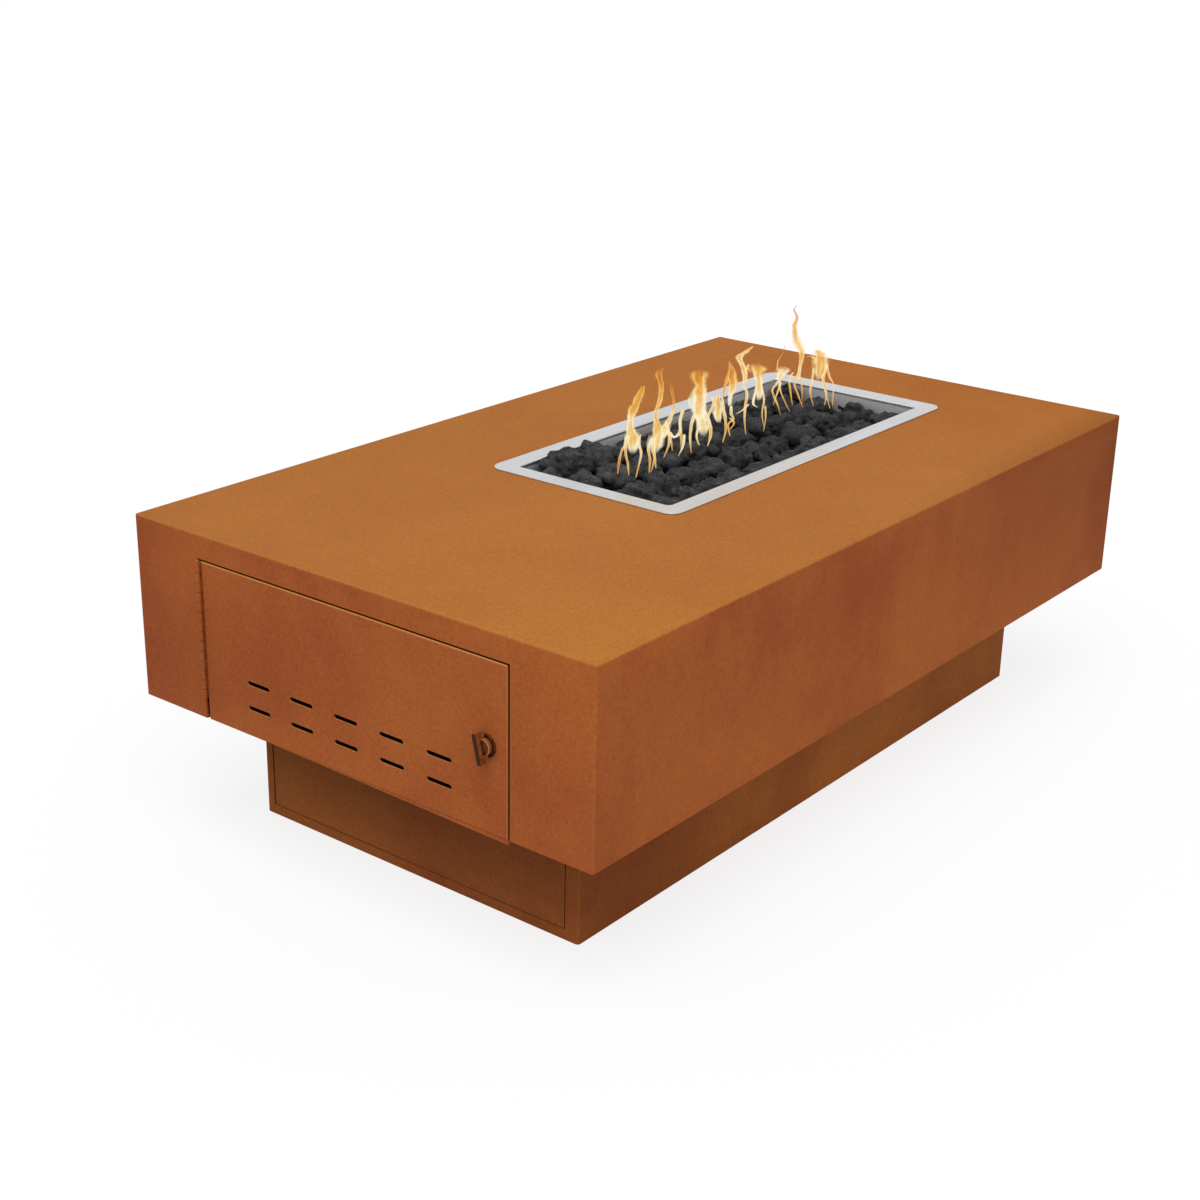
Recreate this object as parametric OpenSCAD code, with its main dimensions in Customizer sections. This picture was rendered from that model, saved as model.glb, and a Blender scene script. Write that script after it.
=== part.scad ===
// Gas fire table in weathered steel: a long box on a recessed plinth, with a drop-in stainless pan,
// a straight burner under lava rock, and a hinged service door in one end.
// Millimetres. The origin is on the floor, at the middle of the plinth. X runs along the table,
// the door end faces -X, and Z is up.

/* [Table] */
// Length of the upper box, along X
table_length = 1219.2; // [1100:0.1:1600]
// Width of the upper box, along Y
table_width = 711.2; // [640:0.1:1000]
// Height of the table top above the floor
table_height = 406.4; // [380:0.1:700]
// Height of the upper box
box_height = 237.4; // [215:0.1:330]
// Thickness of the weathered steel sheet
sheet = 3; // [2:0.1:4]
// Outside radius of the folded edges
fold_radius = 4; // [3:0.1:5]

/* [Plinth] */
// Setback of the plinth's ends from the box's ends
plinth_end_inset = 101.1; // [70:0.1:130]
// Setback of the plinth's sides from the box's sides
plinth_side_inset = 99.1; // [60:0.1:104]
// Width of the flange folded inward along the plinth's top
plinth_flange = 30; // [24:0.1:40]
// Width of the opening in the plinth's door end
end_opening_width = 480; // [300:0.1:480]
// Sideways offset of that opening from the middle
end_opening_offset = 3; // [0:0.1:3]
// Height of the strip left under that opening
end_sill_height = 12.7; // [10:0.1:30]
// Depth of the flanges folded inward round that opening
end_flange_depth = 18; // [16:0.1:24]
// Depth of the end panel's folded edges
end_panel_depth = 15; // [12:0.1:15.5]
// Seam between the end panel and the plinth
end_seam = 1.2; // [0.6:0.1:2]
// Diameter of the plinth's joining bolts
bolt_d = 8; // [6:0.1:8]

/* [Service door] */
// Width of the door opening
door_opening_width = 484; // [400:0.1:520]
// Sideways offset of the door opening from the middle
door_opening_offset = 1; // [-10:0.1:10]
// Height of steel left above the door opening
door_header_height = 31.4; // [20:0.1:40]
// Gap above the door
door_top_gap = 2; // [1:0.1:3]
// Gap at the door's free edge
door_free_gap = 2.5; // [2:0.1:4]
// Depth of the door's folded edges
door_depth = 15; // [10:0.1:18]
// How far the door stands proud of the box
door_proud = 0.4; // [0:0.1:0.6]
// Depth of the flanges folded inward round the door opening
jamb_depth = 24; // [21:0.1:26]
// How far the pull lip hangs below the door at its free edge
pull_lip_drop = 6; // [3:0.1:10]
// Length of the pull lip along the door's lower edge
pull_lip_length = 373; // [100:0.1:400]

/* [Vent slots] */
// Number of slots in a row
vent_columns = 5; // [3:1:5]
// Spacing of the slots along a row
vent_pitch = 71.8; // [60:0.1:76]
// Length of a slot
vent_length = 37; // [20:0.1:50]
// Height of a slot
vent_height = 5.8; // [4:0.1:8]
// Distance from the door's hinge edge to the first slot's middle
vent_inset = 91; // [80:0.1:95]
// Height of the lower row above the door's lower edge
vent_low_row = 37.2; // [30:0.1:60]
// Distance between the two rows
vent_row_pitch = 32; // [20:0.1:40]

/* [Continuous hinge] */
// Diameter of the hinge barrel
barrel_d = 6.4; // [6:0.1:9]
// Diameter of the hinge pin
hinge_pin_d = 3.2; // [2.5:0.1:4]
// Thickness of a hinge leaf
leaf_thickness = 1.6; // [1.2:0.1:1.8]
// Gap between the closed leaves
leaf_gap = 1.2; // [0.8:0.1:1.4]
// Width of a leaf behind the barrel
leaf_width = 19; // [12:0.1:20]
// Length of the hinge
hinge_length = 174.5; // [100:0.1:190]
// Nominal spacing of the knuckles
knuckle_pitch = 12.5; // [10:0.1:25]

/* [Wing latch] */
// Distance from the door's free edge to the latch's axis
latch_inset = 29.5; // [24:0.1:33]
// Height of the latch's axis above the door's lower edge
latch_height = 104; // [80:0.1:130]
// Diameter of the round escutcheon
escutcheon_d = 28; // [25:0.1:34]
// Length of the wing
wing_length = 36; // [28:0.1:42]
// Thickness of the wing
wing_thickness = 4.5; // [3:0.1:6]
// How far the wing's outer edge stands out from the door
wing_proud = 17; // [14.5:0.1:22]
// Turn of the wing from upright
wing_tilt = 13.3; // [0:0.1:20]
// Length of the cam from its axis to its tip
cam_reach = 46; // [40:0.1:50]

/* [Fire pan] */
// Length of the pan's flange
pan_length = 660; // [560:0.1:700]
// Width of the pan's flange
pan_width = 300; // [270:0.1:400]
// Distance of the pan's middle from the table's middle, away from the door
pan_shift = 138.5; // [120:0.1:160]
// Sideways offset of the pan's middle
pan_side_shift = 8; // [0:0.1:20]
// Width of the flange
pan_flange = 28; // [22:0.1:34]
// Radius of the flange's corners
pan_corner_radius = 19; // [10:0.1:26]
// Radius of the well's corners, inside
well_corner_radius = 6; // [4:0.1:12]
// Depth of the well
pan_depth = 75; // [72:0.1:90]
// Thickness of the stainless sheet
pan_sheet = 2; // [1.5:0.1:2.5]
// Outside radius of the fold between the flange and the well
pan_fold_radius = 3; // [2:0.1:4]

/* [Burner] */
// Diameter of the burner tube
burner_d = 25.4; // [20:0.1:26]
// Space between each end of the burner tube and the well's end wall
burner_end_space = 42; // [32:0.1:100]
// Spacing of the gas ports
port_pitch = 14; // [12:0.1:30]
// Diameter of a gas port
port_d = 3; // [2:0.1:4]

/* [Lava rock] */
// Number of rocks along the pan
rock_columns = 11; // [8:1:12]
// Rows of rocks on each side of the burner
rock_rows_each_side = 2; // [1:1:3]
// Cover of packed rock over the burner at the bed's low end
bed_cover = 1; // [0.5:0.1:4]
// Rise of the bed at the heap in its corner by the door end
bed_rise = 17; // [0:0.1:26]
// Reach of that heap
heap_reach = 64; // [50:0.1:150]
// Height of a common rock
rock_height = 34; // [25:0.1:45]

/* [Gas line] */
// Diameter of the rigid pipe
pipe_d = 21.3; // [20:0.1:22]
// Height of the pipe's open end above the floor
inlet_height = 40; // [30:0.1:60]
// Distance from the plinth's door end to the riser's axis
riser_inset = 48.5; // [44:0.1:60]
// Diameter of the flexible hose
hose_d = 16; // [12:0.1:16.5]
// Bend radius of the flexible hose
hose_bend = 38; // [32:0.1:42]
// Length of the valve's lever
lever_length = 72; // [50:0.1:90]

/* [Hidden] */
$fn = 64;

// One overrun serves every cut
overrun = 1;
// Gap left where welded sheets meet
weld_gap = 0.2;
// Radial clearance of a shaft that turns in a bore
running_gap = 0.05;
// Radial clearance of a thread in its hole
thread_gap = 0.1;
// Gap to what a moving piece rests against
rest_gap = 0.3;
// Radial clearance of a bolt in its hole
bolt_gap = 0.5;

base_height = table_height - box_height;
plinth_length = table_length - 2 * plinth_end_inset;
plinth_width = table_width - 2 * plinth_side_inset;
end_face_x = -table_length / 2;
top_under_z = table_height - sheet;
under_top_z = base_height + sheet;
box_inner_length = table_length - 2 * sheet;
box_inner_width = table_width - 2 * sheet;

opening_low_y = door_opening_offset - door_opening_width / 2;
opening_high_y = door_opening_offset + door_opening_width / 2;
opening_top_z = table_height - door_header_height;
hinge_gap = 2 * leaf_thickness + leaf_gap;
door_low_y = opening_low_y + door_free_gap;
door_high_y = opening_high_y - hinge_gap;
door_top_z = opening_top_z - door_top_gap;
door_face_x = end_face_x - door_proud;
door_back_x = door_face_x + door_depth;
lip_setback = 1.5;
tray_fold_radius = 2.5;

barrel_gap = 0.15;
hinge_x = end_face_x - barrel_d / 2 - barrel_gap;
hinge_y = opening_high_y - hinge_gap / 2;
hinge_top_drop = 1;
hinge_top_z = door_top_z - hinge_top_drop;
hinge_low_z = hinge_top_z - hinge_length;
knuckle_count = round(hinge_length / knuckle_pitch);
knuckle_length = hinge_length / knuckle_count;
knuckle_gap = 0.7;
knuckle_clearance = 0.3;
leaf_start = barrel_d / 2 + knuckle_clearance;
web_start_share = 0.3;
pin_head_d = 5;
pin_head_height = 1.4;

latch_y = door_low_y + latch_inset;
latch_z = base_height + latch_height;
escutcheon_thickness = 2;
latch_barrel_d = 18;
spindle_d = 8;
spindle_square = 5.5;
knob_hub_d = 20;
knob_hub_height = 4;
knob_dome_height = 3.5;
wing_root = 5.5;
wing_corner = 1.5;
cam_width = 16;
cam_thickness = 3;
cam_gap = 0.8;
cam_x = end_face_x + jamb_depth + cam_gap;
latch_nut_flats = 24;
latch_nut_thickness = 4;
cam_screw_d = 4;
cam_screw_head_d = 11;
cam_screw_head_height = 2.5;
cam_screw_length = 12;
stop_reach = 12;
stop_height = 16;
stop_offsets = [29, -68];

pan_x = pan_shift;
pan_y = pan_side_shift;
rim_z = table_height + pan_sheet;
well_length = pan_length - 2 * pan_flange;
burner_length = well_length - 2 * burner_end_space;
well_width = pan_width - 2 * pan_flange;
well_floor_z = rim_z - pan_depth;
cutout_gap = 3;
cutout_length = well_length + 2 * pan_sheet + 2 * cutout_gap;
cutout_width = well_width + 2 * pan_sheet + 2 * cutout_gap;
cutout_radius = well_corner_radius + pan_sheet + cutout_gap;
drain_d = 10;
drain_length_share = 0.42;
drain_width_share = 0.36;

cross_member_width = 40;
cross_member_height = 30;
cross_member_gap = 12;

burner_wall = 1.5;
burner_lift = 6;
burner_z = well_floor_z + burner_lift + burner_d / 2;
cap_wall = 1.5;
cap_depth = 10;
saddle_width = 36;
saddle_thickness = 3;
saddle_share = 0.4;
saddle_wrap_share = 0.1;
locknut_flats = 32;
locknut_thickness = 5;

pipe_wall = 2.75;
pipe_bore = pipe_d - 2 * pipe_wall;
elbow_bend = 20;
elbow_socket = 14;
elbow_wall = 3.5;
elbow_d = pipe_d + 2 * elbow_wall;
socket_insert = elbow_socket - 2;
coupling_drop = 5;
coupling_length = 2 * elbow_socket + 4;
coupling_z = well_floor_z - pan_sheet - locknut_thickness - coupling_drop - coupling_length;
fitting_hex_flats = 27;
fitting_hex_length = 18;
hose_wall = 2;
hose_lead = 4;
valve_height = coupling_z - fitting_hex_length - hose_lead - hose_bend;
thread_d = 20.8;
thread_length = 18;

riser_x = -plinth_length / 2 + riser_inset;
riser_hole_d = 60;
nipple_bare = 8;
nipple_start_x = riser_x + elbow_bend + elbow_socket;
valve_start_x = nipple_start_x + nipple_bare;
valve_length = 64;
valve_end_x = valve_start_x + valve_length;
valve_x = (valve_start_x + valve_end_x) / 2;
valve_body_d = 36;
valve_hex_flats = 31;
valve_hex_length = 20;
stem_d = 8;
stem_housing_d = 15;
stem_housing_height = 27;
stem_rise = 12;
stem_seat_z = valve_body_d / 4;
handle_thickness = 3;
handle_width = 20;
handle_flat = 5.5;
handle_nut_flats = 10;
handle_nut_thickness = 4.5;

bracket_thickness = 3;
bracket_width = 50;
bracket_foot = 44;
bracket_screw_d = 5;
bracket_screw_share = 0.6;
bracket_screw_side_share = 0.3;
hose_start_x = valve_end_x + fitting_hex_length - socket_insert;

plinth_inner_length = plinth_length - 2 * sheet;
plinth_inner_width = plinth_width - 2 * sheet;
end_low_y = end_opening_offset - end_opening_width / 2;
end_high_y = end_opening_offset + end_opening_width / 2;
end_top_z = base_height - sheet;
end_screw_d = 5;
end_screw_heights_share = [0.25, 0.75];
bolt_side_shares = [-0.39, -0.13, 0.13, 0.39];
bolt_end_shares = [-0.24, 0.24];
bolt_head_flats_ratio = 1.625;
bolt_head_height_ratio = 0.66;
bolt_nut_height_ratio = 0.8;
bolt_tip_ratio = 0.25;
floor_drain_d = 12;
floor_drain_length_share = 0.36;
floor_drain_width_share = 0.3;
underside_vent_d = 25;
underside_vent_shares = [-0.3, -0.1, 0.1, 0.3];

bed_gap = 1;
channel_gap = 4;
channel_width = saddle_width + 2 * channel_gap;
channel_length = burner_length + 2 * cap_wall + 2 * channel_gap;
bed_length = well_length - 2 * bed_gap;
bed_width = well_width - 2 * bed_gap;
bed_base = burner_lift + burner_d + thread_gap + cap_wall + bed_cover;
heap_along_share = -0.36;
heap_across_share = 0.32;
rock_gap = 2.2;
step_lap = 0.2;
rock_rows = 2 * rock_rows_each_side;
row_wobble_share = 0.14;
column_wobble_share = 0.2;
rock_sides = 12;
rock_rings = 6;
rock_seed = 41;
seeds_per_row = 100;
rock_block_power = 2.6;
rock_cuts = 9;
rock_cut_shares = [0.72, 1.12];
cut_facing_share = 0.1;
rock_rough_share = 0.05;
rock_height_shares = [0.8, 1.2];
rock_sink_share = 0.22;

steel_colour = [0.58, 0.33, 0.17];
dark_steel_colour = [0.42, 0.24, 0.13];
stainless_colour = [0.8, 0.8, 0.81];
rock_colour = [0.16, 0.16, 0.17];
bronze_colour = [0.32, 0.18, 0.09];
brass_colour = [0.78, 0.62, 0.3];
zinc_colour = [0.62, 0.63, 0.64];
hose_colour = [0.85, 0.72, 0.2];
grip_colour = [0.75, 0.12, 0.1];

// Outlines and solids that several pieces share

module rounded_outline(length, width, radius) {
    square([length - 2 * radius, width], center = true);
    square([length, width - 2 * radius], center = true);
    for (sx = [-1, 1], sy = [-1, 1])
        translate([sx * (length / 2 - radius), sy * (width / 2 - radius)]) circle(radius);
}

module slot_outline(length, width) {
    square([length - width, width], center = true);
    for (side = [-1, 1]) translate([side * (length - width) / 2, 0]) circle(d = width);
}

// Outline of a box seen from its side, with its two upper corners rounded
module arched_outline(length, height, radius) {
    translate([-length / 2, 0]) square([length, height - radius]);
    translate([-length / 2 + radius, 0]) square([length - 2 * radius, height]);
    for (side = [-1, 1]) translate([side * (length / 2 - radius), height - radius]) circle(radius);
}

// Box from z = 0 upward whose standing and upper edges are folded to a radius
module folded_block(length, width, height, radius) {
    intersection() {
        linear_extrude(height) rounded_outline(length, width, radius);
        rotate([90, 0, 0])
            linear_extrude(width + 2 * overrun, center = true) arched_outline(length, height, radius);
        rotate([90, 0, 90])
            linear_extrude(length + 2 * overrun, center = true) arched_outline(width, height, radius);
    }
}

// Sheet tray that faces -X, with its four edges folded back; the origin is at the face's middle
module folded_tray(width, height, depth) {
    difference() {
        translate([depth, 0, 0]) rotate([0, -90, 0]) folded_block(height, width, depth, tray_fold_radius);
        translate([sheet, -width / 2 + sheet, -height / 2 + sheet])
            cube([depth, width - 2 * sheet, height - 2 * sheet]);
    }
}

module hexagon(flats, thickness) {
    cylinder(d = flats / cos(30), h = thickness, $fn = 6);
}

module along_x(x = 0, y = 0, z = 0) {
    translate([x, y, z]) rotate([0, 90, 0]) children();
}

module ring(outer_d, inner_d, length) {
    difference() {
        cylinder(d = outer_d, h = length);
        translate([0, 0, -overrun]) cylinder(d = inner_d, h = length + 2 * overrun);
    }
}

// Upper box

module body_shell() {
    color(steel_colour) difference() {
        union() {
            difference() {
                translate([0, 0, base_height])
                    folded_block(table_length, table_width, box_height, fold_radius);
                translate([-box_inner_length / 2, -box_inner_width / 2, base_height - overrun])
                    cube([box_inner_length, box_inner_width, box_height - sheet + overrun]);
            }
            jamb_flange(opening_low_y - sheet, under_top_z + weld_gap);
            jamb_flange(opening_high_y, hinge_low_z);
            translate([end_face_x + sheet, opening_low_y - sheet, opening_top_z])
                cube([jamb_depth - sheet, door_opening_width + 2 * sheet, sheet]);
        }
        translate([pan_x, pan_y, top_under_z - overrun]) linear_extrude(sheet + 2 * overrun)
            rounded_outline(cutout_length, cutout_width, cutout_radius);
        translate([end_face_x - overrun, opening_low_y, base_height - overrun])
            cube([sheet + 2 * overrun, door_opening_width, opening_top_z - base_height + overrun]);
    }
}

// The hinge-side flange ends at the hinge's foot, which leaves an open slot below it
module jamb_flange(y, foot_z) {
    translate([end_face_x + sheet, y, foot_z])
        cube([jamb_depth - sheet, sheet, opening_top_z + sheet - foot_z]);
}

module underside_plate() {
    length = box_inner_length - 2 * weld_gap;
    width = box_inner_width - 2 * weld_gap;
    color(dark_steel_colour) translate([0, 0, base_height]) linear_extrude(sheet) difference() {
        square([length, width], center = true);
        translate([end_face_x, opening_low_y])
            square([jamb_depth, door_opening_width]);
        translate([riser_x, pan_y]) circle(d = riser_hole_d);
        for (p = bolt_places()) translate(p) circle(d = bolt_d + 2 * bolt_gap);
        for (p = bracket_screw_places()) translate(p) circle(d = bracket_screw_d + thread_gap);
        for (share = underside_vent_shares, side = [-1, 1])
            translate([share * table_length, side * (plinth_width + table_width) / 4])
                circle(d = underside_vent_d);
    }
}

// Inverted channel across the box, under the top sheet
module cross_member(x) {
    length = box_inner_width - 2 * weld_gap;
    color(dark_steel_colour) translate([x, 0, top_under_z]) rotate([90, 0, 0])
        linear_extrude(length, center = true) difference() {
            translate([-cross_member_width / 2, -cross_member_height])
                square([cross_member_width, cross_member_height]);
            translate([-cross_member_width / 2 + sheet, -cross_member_height - overrun])
                square([cross_member_width - 2 * sheet, cross_member_height - sheet + overrun]);
        }
}

function cross_member_offset() = cutout_length / 2 + cross_member_gap + cross_member_width / 2;

module cross_member_service() { cross_member(pan_x - cross_member_offset()); }

module cross_member_far() { cross_member(pan_x + cross_member_offset()); }

// Plinth

module base_shell() {
    color(dark_steel_colour) difference() {
        union() {
            difference() {
                linear_extrude(base_height) rounded_outline(plinth_length, plinth_width, fold_radius);
                translate([-plinth_inner_length / 2, -plinth_inner_width / 2, -overrun])
                    cube([plinth_inner_length, plinth_inner_width, base_height - sheet + overrun]);
                translate([-plinth_inner_length / 2 + plinth_flange,
                           -plinth_inner_width / 2 + plinth_flange, 0])
                    cube([plinth_inner_length - 2 * plinth_flange,
                          plinth_inner_width - 2 * plinth_flange, base_height + overrun]);
            }
            for (y = [end_low_y - sheet, end_high_y])
                translate([-plinth_length / 2 + sheet, y, end_sill_height - sheet])
                    cube([end_flange_depth, sheet, end_top_z - end_sill_height + sheet]);
            translate([-plinth_length / 2 + sheet, end_low_y, end_sill_height - sheet])
                cube([end_flange_depth, end_opening_width, sheet]);
        }
        translate([-plinth_length / 2 - overrun, end_low_y, end_sill_height])
            cube([sheet + 2 * overrun, end_opening_width, end_top_z - end_sill_height]);
        for (p = bolt_places()) translate([p.x, p.y, end_top_z - overrun])
            cylinder(d = bolt_d + 2 * bolt_gap, h = sheet + 2 * overrun);
        end_screw_shafts(end_screw_d + thread_gap, end_screw_reach() + overrun);
    }
}

module base_floor_plate() {
    color(dark_steel_colour) linear_extrude(sheet) difference() {
        square([plinth_inner_length - 2 * weld_gap, plinth_inner_width - 2 * weld_gap], center = true);
        translate([riser_x, pan_y]) circle(d = riser_hole_d);
        for (sx = [-1, 0, 1], sy = [-1, 1])
            translate([sx * floor_drain_length_share * plinth_length,
                       sy * floor_drain_width_share * plinth_width]) circle(d = floor_drain_d);
    }
}

// Tray that fills the opening in the plinth's door end
module base_end_panel() {
    width = end_opening_width - 2 * end_seam;
    bottom = end_sill_height + weld_gap;
    height = end_top_z - weld_gap - bottom;
    color(dark_steel_colour) difference() {
        translate([-plinth_length / 2, end_opening_offset, bottom + height / 2])
            folded_tray(width, height, end_panel_depth);
        end_screw_shafts(end_screw_d + thread_gap, end_screw_reach() + overrun);
    }
}

function end_screw_reach() = end_seam + 2 * sheet;

// Shafts of the end panel's screws, from inside the tray outward through the plinth's flanges
module end_screw_shafts(diameter, length) {
    for (share = end_screw_heights_share, side = [-1, 1])
        translate([-plinth_length / 2 + (end_panel_depth + sheet) / 2,
                   side > 0 ? end_high_y - end_seam - sheet : end_low_y + end_seam + sheet,
                   end_sill_height + share * (end_top_z - end_sill_height)])
            rotate([-side * 90, 0, 0]) cylinder(d = diameter, h = length);
}

module end_panel_screws() {
    head_height = end_screw_d * bolt_head_height_ratio;
    color(zinc_colour) {
        end_screw_shafts(end_screw_d, end_screw_reach());
        for (share = end_screw_heights_share, side = [-1, 1])
            translate([-plinth_length / 2 + (end_panel_depth + sheet) / 2,
                       side > 0 ? end_high_y - end_seam - sheet : end_low_y + end_seam + sheet,
                       end_sill_height + share * (end_top_z - end_sill_height)])
                rotate([side * 90, 0, 0]) hexagon(end_screw_d * bolt_head_flats_ratio, head_height);
    }
}

function bolt_places() = concat(
    [for (share = bolt_side_shares, side = [-1, 1])
        [share * plinth_length, side * (plinth_inner_width - plinth_flange) / 2]],
    [for (share = bolt_end_shares)
        [(plinth_inner_length - plinth_flange) / 2, share * plinth_width]]);

module plinth_bolts() {
    head_height = bolt_d * bolt_head_height_ratio;
    length = 2 * sheet + bolt_d * (bolt_nut_height_ratio + bolt_tip_ratio);
    color(zinc_colour) for (p = bolt_places()) translate([p.x, p.y, end_top_z - head_height]) {
        hexagon(bolt_d * bolt_head_flats_ratio, head_height);
        cylinder(d = bolt_d, h = head_height + length);
    }
}

module plinth_nuts() {
    height = bolt_d * bolt_nut_height_ratio;
    color(zinc_colour) for (p = bolt_places()) translate([p.x, p.y, under_top_z]) difference() {
        hexagon(bolt_d * bolt_head_flats_ratio, height);
        translate([0, 0, -overrun]) cylinder(d = bolt_d + thread_gap, h = height + 2 * overrun);
    }
}

// Fire pan and burner

module fire_pan() {
    color(stainless_colour) translate([pan_x, pan_y, 0]) difference() {
        union() {
            translate([0, 0, table_height]) linear_extrude(pan_sheet)
                rounded_outline(pan_length, pan_width, pan_corner_radius);
            translate([0, 0, well_floor_z - pan_sheet]) linear_extrude(pan_depth)
                rounded_outline(well_length + 2 * pan_sheet, well_width + 2 * pan_sheet,
                                well_corner_radius + pan_sheet);
        }
        translate([0, 0, well_floor_z]) linear_extrude(pan_depth + overrun)
            rounded_outline(well_length, well_width, well_corner_radius);
        translate([0, 0, rim_z]) pan_mouth();
        translate([0, 0, well_floor_z - pan_sheet - overrun])
            linear_extrude(pan_sheet + 2 * overrun) {
                circle(d = pipe_d + 2 * thread_gap);
                for (sx = [-1, 1], sy = [-1, 1])
                    translate([sx * drain_length_share * well_length,
                               sy * drain_width_share * well_width]) circle(d = drain_d);
            }
    }
}

// Trumpet-shaped cut that rounds the edge between the flange and the well; z = 0 is the flange's top
module pan_mouth() {
    for (straight = [[well_length - 2 * well_corner_radius, well_width, 90],
                     [well_width - 2 * well_corner_radius, well_length, 0]])
        rotate([90, 0, straight[2]]) linear_extrude(straight[0], center = true)
            mouth_outline(straight[1] / 2);
    for (sx = [-1, 1], sy = [-1, 1])
        translate([sx * (well_length / 2 - well_corner_radius), sy * (well_width / 2 - well_corner_radius), 0])
            rotate_extrude() intersection() {
                mouth_outline(well_corner_radius);
                translate([0, -pan_fold_radius])
                    square([well_corner_radius + pan_fold_radius, pan_fold_radius + overrun]);
            }
}

module mouth_outline(half_width) {
    reach = half_width + pan_fold_radius;
    difference() {
        translate([-reach, -pan_fold_radius]) square([2 * reach, pan_fold_radius + overrun]);
        for (side = [-1, 1]) translate([side * reach, -pan_fold_radius]) circle(pan_fold_radius);
        for (side = [-1, 1]) translate([side * reach - pan_fold_radius, 0])
            square([2 * pan_fold_radius, 2 * overrun]);
    }
}

module burner_tube() {
    ports = floor((burner_length - 2 * cap_depth - port_pitch) / port_pitch);
    color(stainless_colour) translate([pan_x, pan_y, burner_z]) difference() {
        along_x(-burner_length / 2) ring(burner_d, burner_d - 2 * burner_wall, burner_length);
        for (i = [0 : ports]) translate([(i - ports / 2) * port_pitch, 0, 0])
            cylinder(d = port_d, h = burner_d);
        translate([0, 0, -burner_d]) cylinder(d = pipe_bore, h = burner_d);
    }
}

module burner_end_caps() {
    outer_d = burner_d + 2 * (thread_gap + cap_wall);
    color(stainless_colour) for (side = [0, 1]) translate([pan_x, pan_y, burner_z]) mirror([side, 0, 0])
        along_x(burner_length / 2 - cap_depth) difference() {
            cylinder(d = outer_d, h = cap_depth + cap_wall);
            translate([0, 0, -overrun]) cylinder(d = burner_d + 2 * thread_gap, h = cap_depth + overrun);
        }
}

// Upright pipe from the coupling below the pan to the underside of the burner tube
module burner_inlet() {
    bottom = coupling_z + coupling_length - socket_insert;
    color(stainless_colour) translate([pan_x, pan_y, 0]) difference() {
        translate([0, 0, bottom]) ring(pipe_d, pipe_bore, burner_z - bottom);
        translate([0, 0, burner_z]) along_x(-pipe_d)
            cylinder(d = burner_d + 2 * weld_gap, h = 2 * pipe_d);
    }
}

module burner_locknuts() {
    color(brass_colour)
        for (z = [well_floor_z, well_floor_z - pan_sheet - locknut_thickness])
            translate([pan_x, pan_y, z]) difference() {
                hexagon(locknut_flats, locknut_thickness);
                translate([0, 0, -overrun])
                    cylinder(d = pipe_d + 2 * thread_gap, h = locknut_thickness + 2 * overrun);
            }
}

module burner_saddles() {
    height = burner_lift + burner_d * (1 / 2 - saddle_wrap_share);
    color(stainless_colour) for (side = [-1, 1])
        translate([pan_x + side * saddle_share * burner_length, pan_y, well_floor_z]) rotate([90, 0, 90])
            linear_extrude(saddle_thickness, center = true) difference() {
                translate([-saddle_width / 2, 0]) square([saddle_width, height]);
                translate([0, burner_lift + burner_d / 2]) circle(d = burner_d + 2 * weld_gap);
            }
}

// Lava rock

function random(low, high, seed) = rands(low, high, 1, seed)[0];

// Cells of the rock layer: rows alternate in number of rocks, and their bounds wander at random
function cells_in_row(j) = rock_columns + j % 2;

function cell_seed(i, j) = rock_seed + seeds_per_row * j + i;

function row_share(j) =
    (j + (j % 2) * random(-row_wobble_share, row_wobble_share, cell_seed(0, j))) / rock_rows;

function column_share(i, j) =
    i == 0 ? 0 : i == cells_in_row(j) ? 1 :
    (i - (j % 2) / 2 + random(-column_wobble_share, column_wobble_share, cell_seed(i, j)))
        / rock_columns;

function cell_size(i, j) = [
    (column_share(i + 1, j) - column_share(i, j)) * bed_length,
    (row_share(j + 1) - row_share(j)) * bed_width];

function cell_middle(i, j) = [
    pan_x + ((column_share(i, j) + column_share(i + 1, j)) / 2 - 0.5) * bed_length,
    pan_y + ((row_share(j) + row_share(j + 1)) / 2 - 0.5) * bed_width];

// Height of the bed's top at one cell: level, but for the heap
function bed_level(i, j) =
    let (heap = [pan_x + heap_along_share * well_length, pan_y + heap_across_share * well_width],
         away = norm(cell_middle(i, j) - heap) / heap_reach)
    bed_base + bed_rise * exp(-away * away);

// Steps of packed rock that fill the pan's lower part, with a channel for the burner
module lava_bed() {
    color(rock_colour) difference() {
        intersection() {
            for (j = [0 : rock_rows - 1], i = [0 : cells_in_row(j) - 1])
                translate([cell_middle(i, j).x - cell_size(i, j).x / 2 - step_lap,
                           cell_middle(i, j).y - cell_size(i, j).y / 2 - step_lap, well_floor_z])
                    cube([cell_size(i, j).x + 2 * step_lap, cell_size(i, j).y + 2 * step_lap,
                          bed_level(i, j)]);
            translate([pan_x, pan_y, well_floor_z - overrun]) linear_extrude(pan_depth)
                rounded_outline(bed_length, bed_width, well_corner_radius);
        }
        translate([pan_x - channel_length / 2, pan_y - channel_width / 2, well_floor_z - overrun])
            cube([channel_length, channel_width, bed_base + bed_rise + 2 * overrun]);
    }
}

function unit_vector(angle, lift) = [cos(angle) * cos(lift), sin(angle) * cos(lift), sin(lift)];

// A rock starts as a bulging block that flat cuts trim at random, like broken stone
function cut_planes(seed) =
    let (draw = rands(0, 1, 3 * rock_cuts, seed))
    [for (k = [0 : rock_cuts - 1]) [
        unit_vector(360 * draw[3 * k], asin(2 * draw[3 * k + 1] - 1)),
        rock_cut_shares[0] + (rock_cut_shares[1] - rock_cut_shares[0]) * draw[3 * k + 2]]];

function block_reach(direction) =
    let (power = rock_block_power)
    1 / pow(pow(abs(direction.x), power) + pow(abs(direction.y), power) + pow(abs(direction.z), power),
            1 / power);

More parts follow.
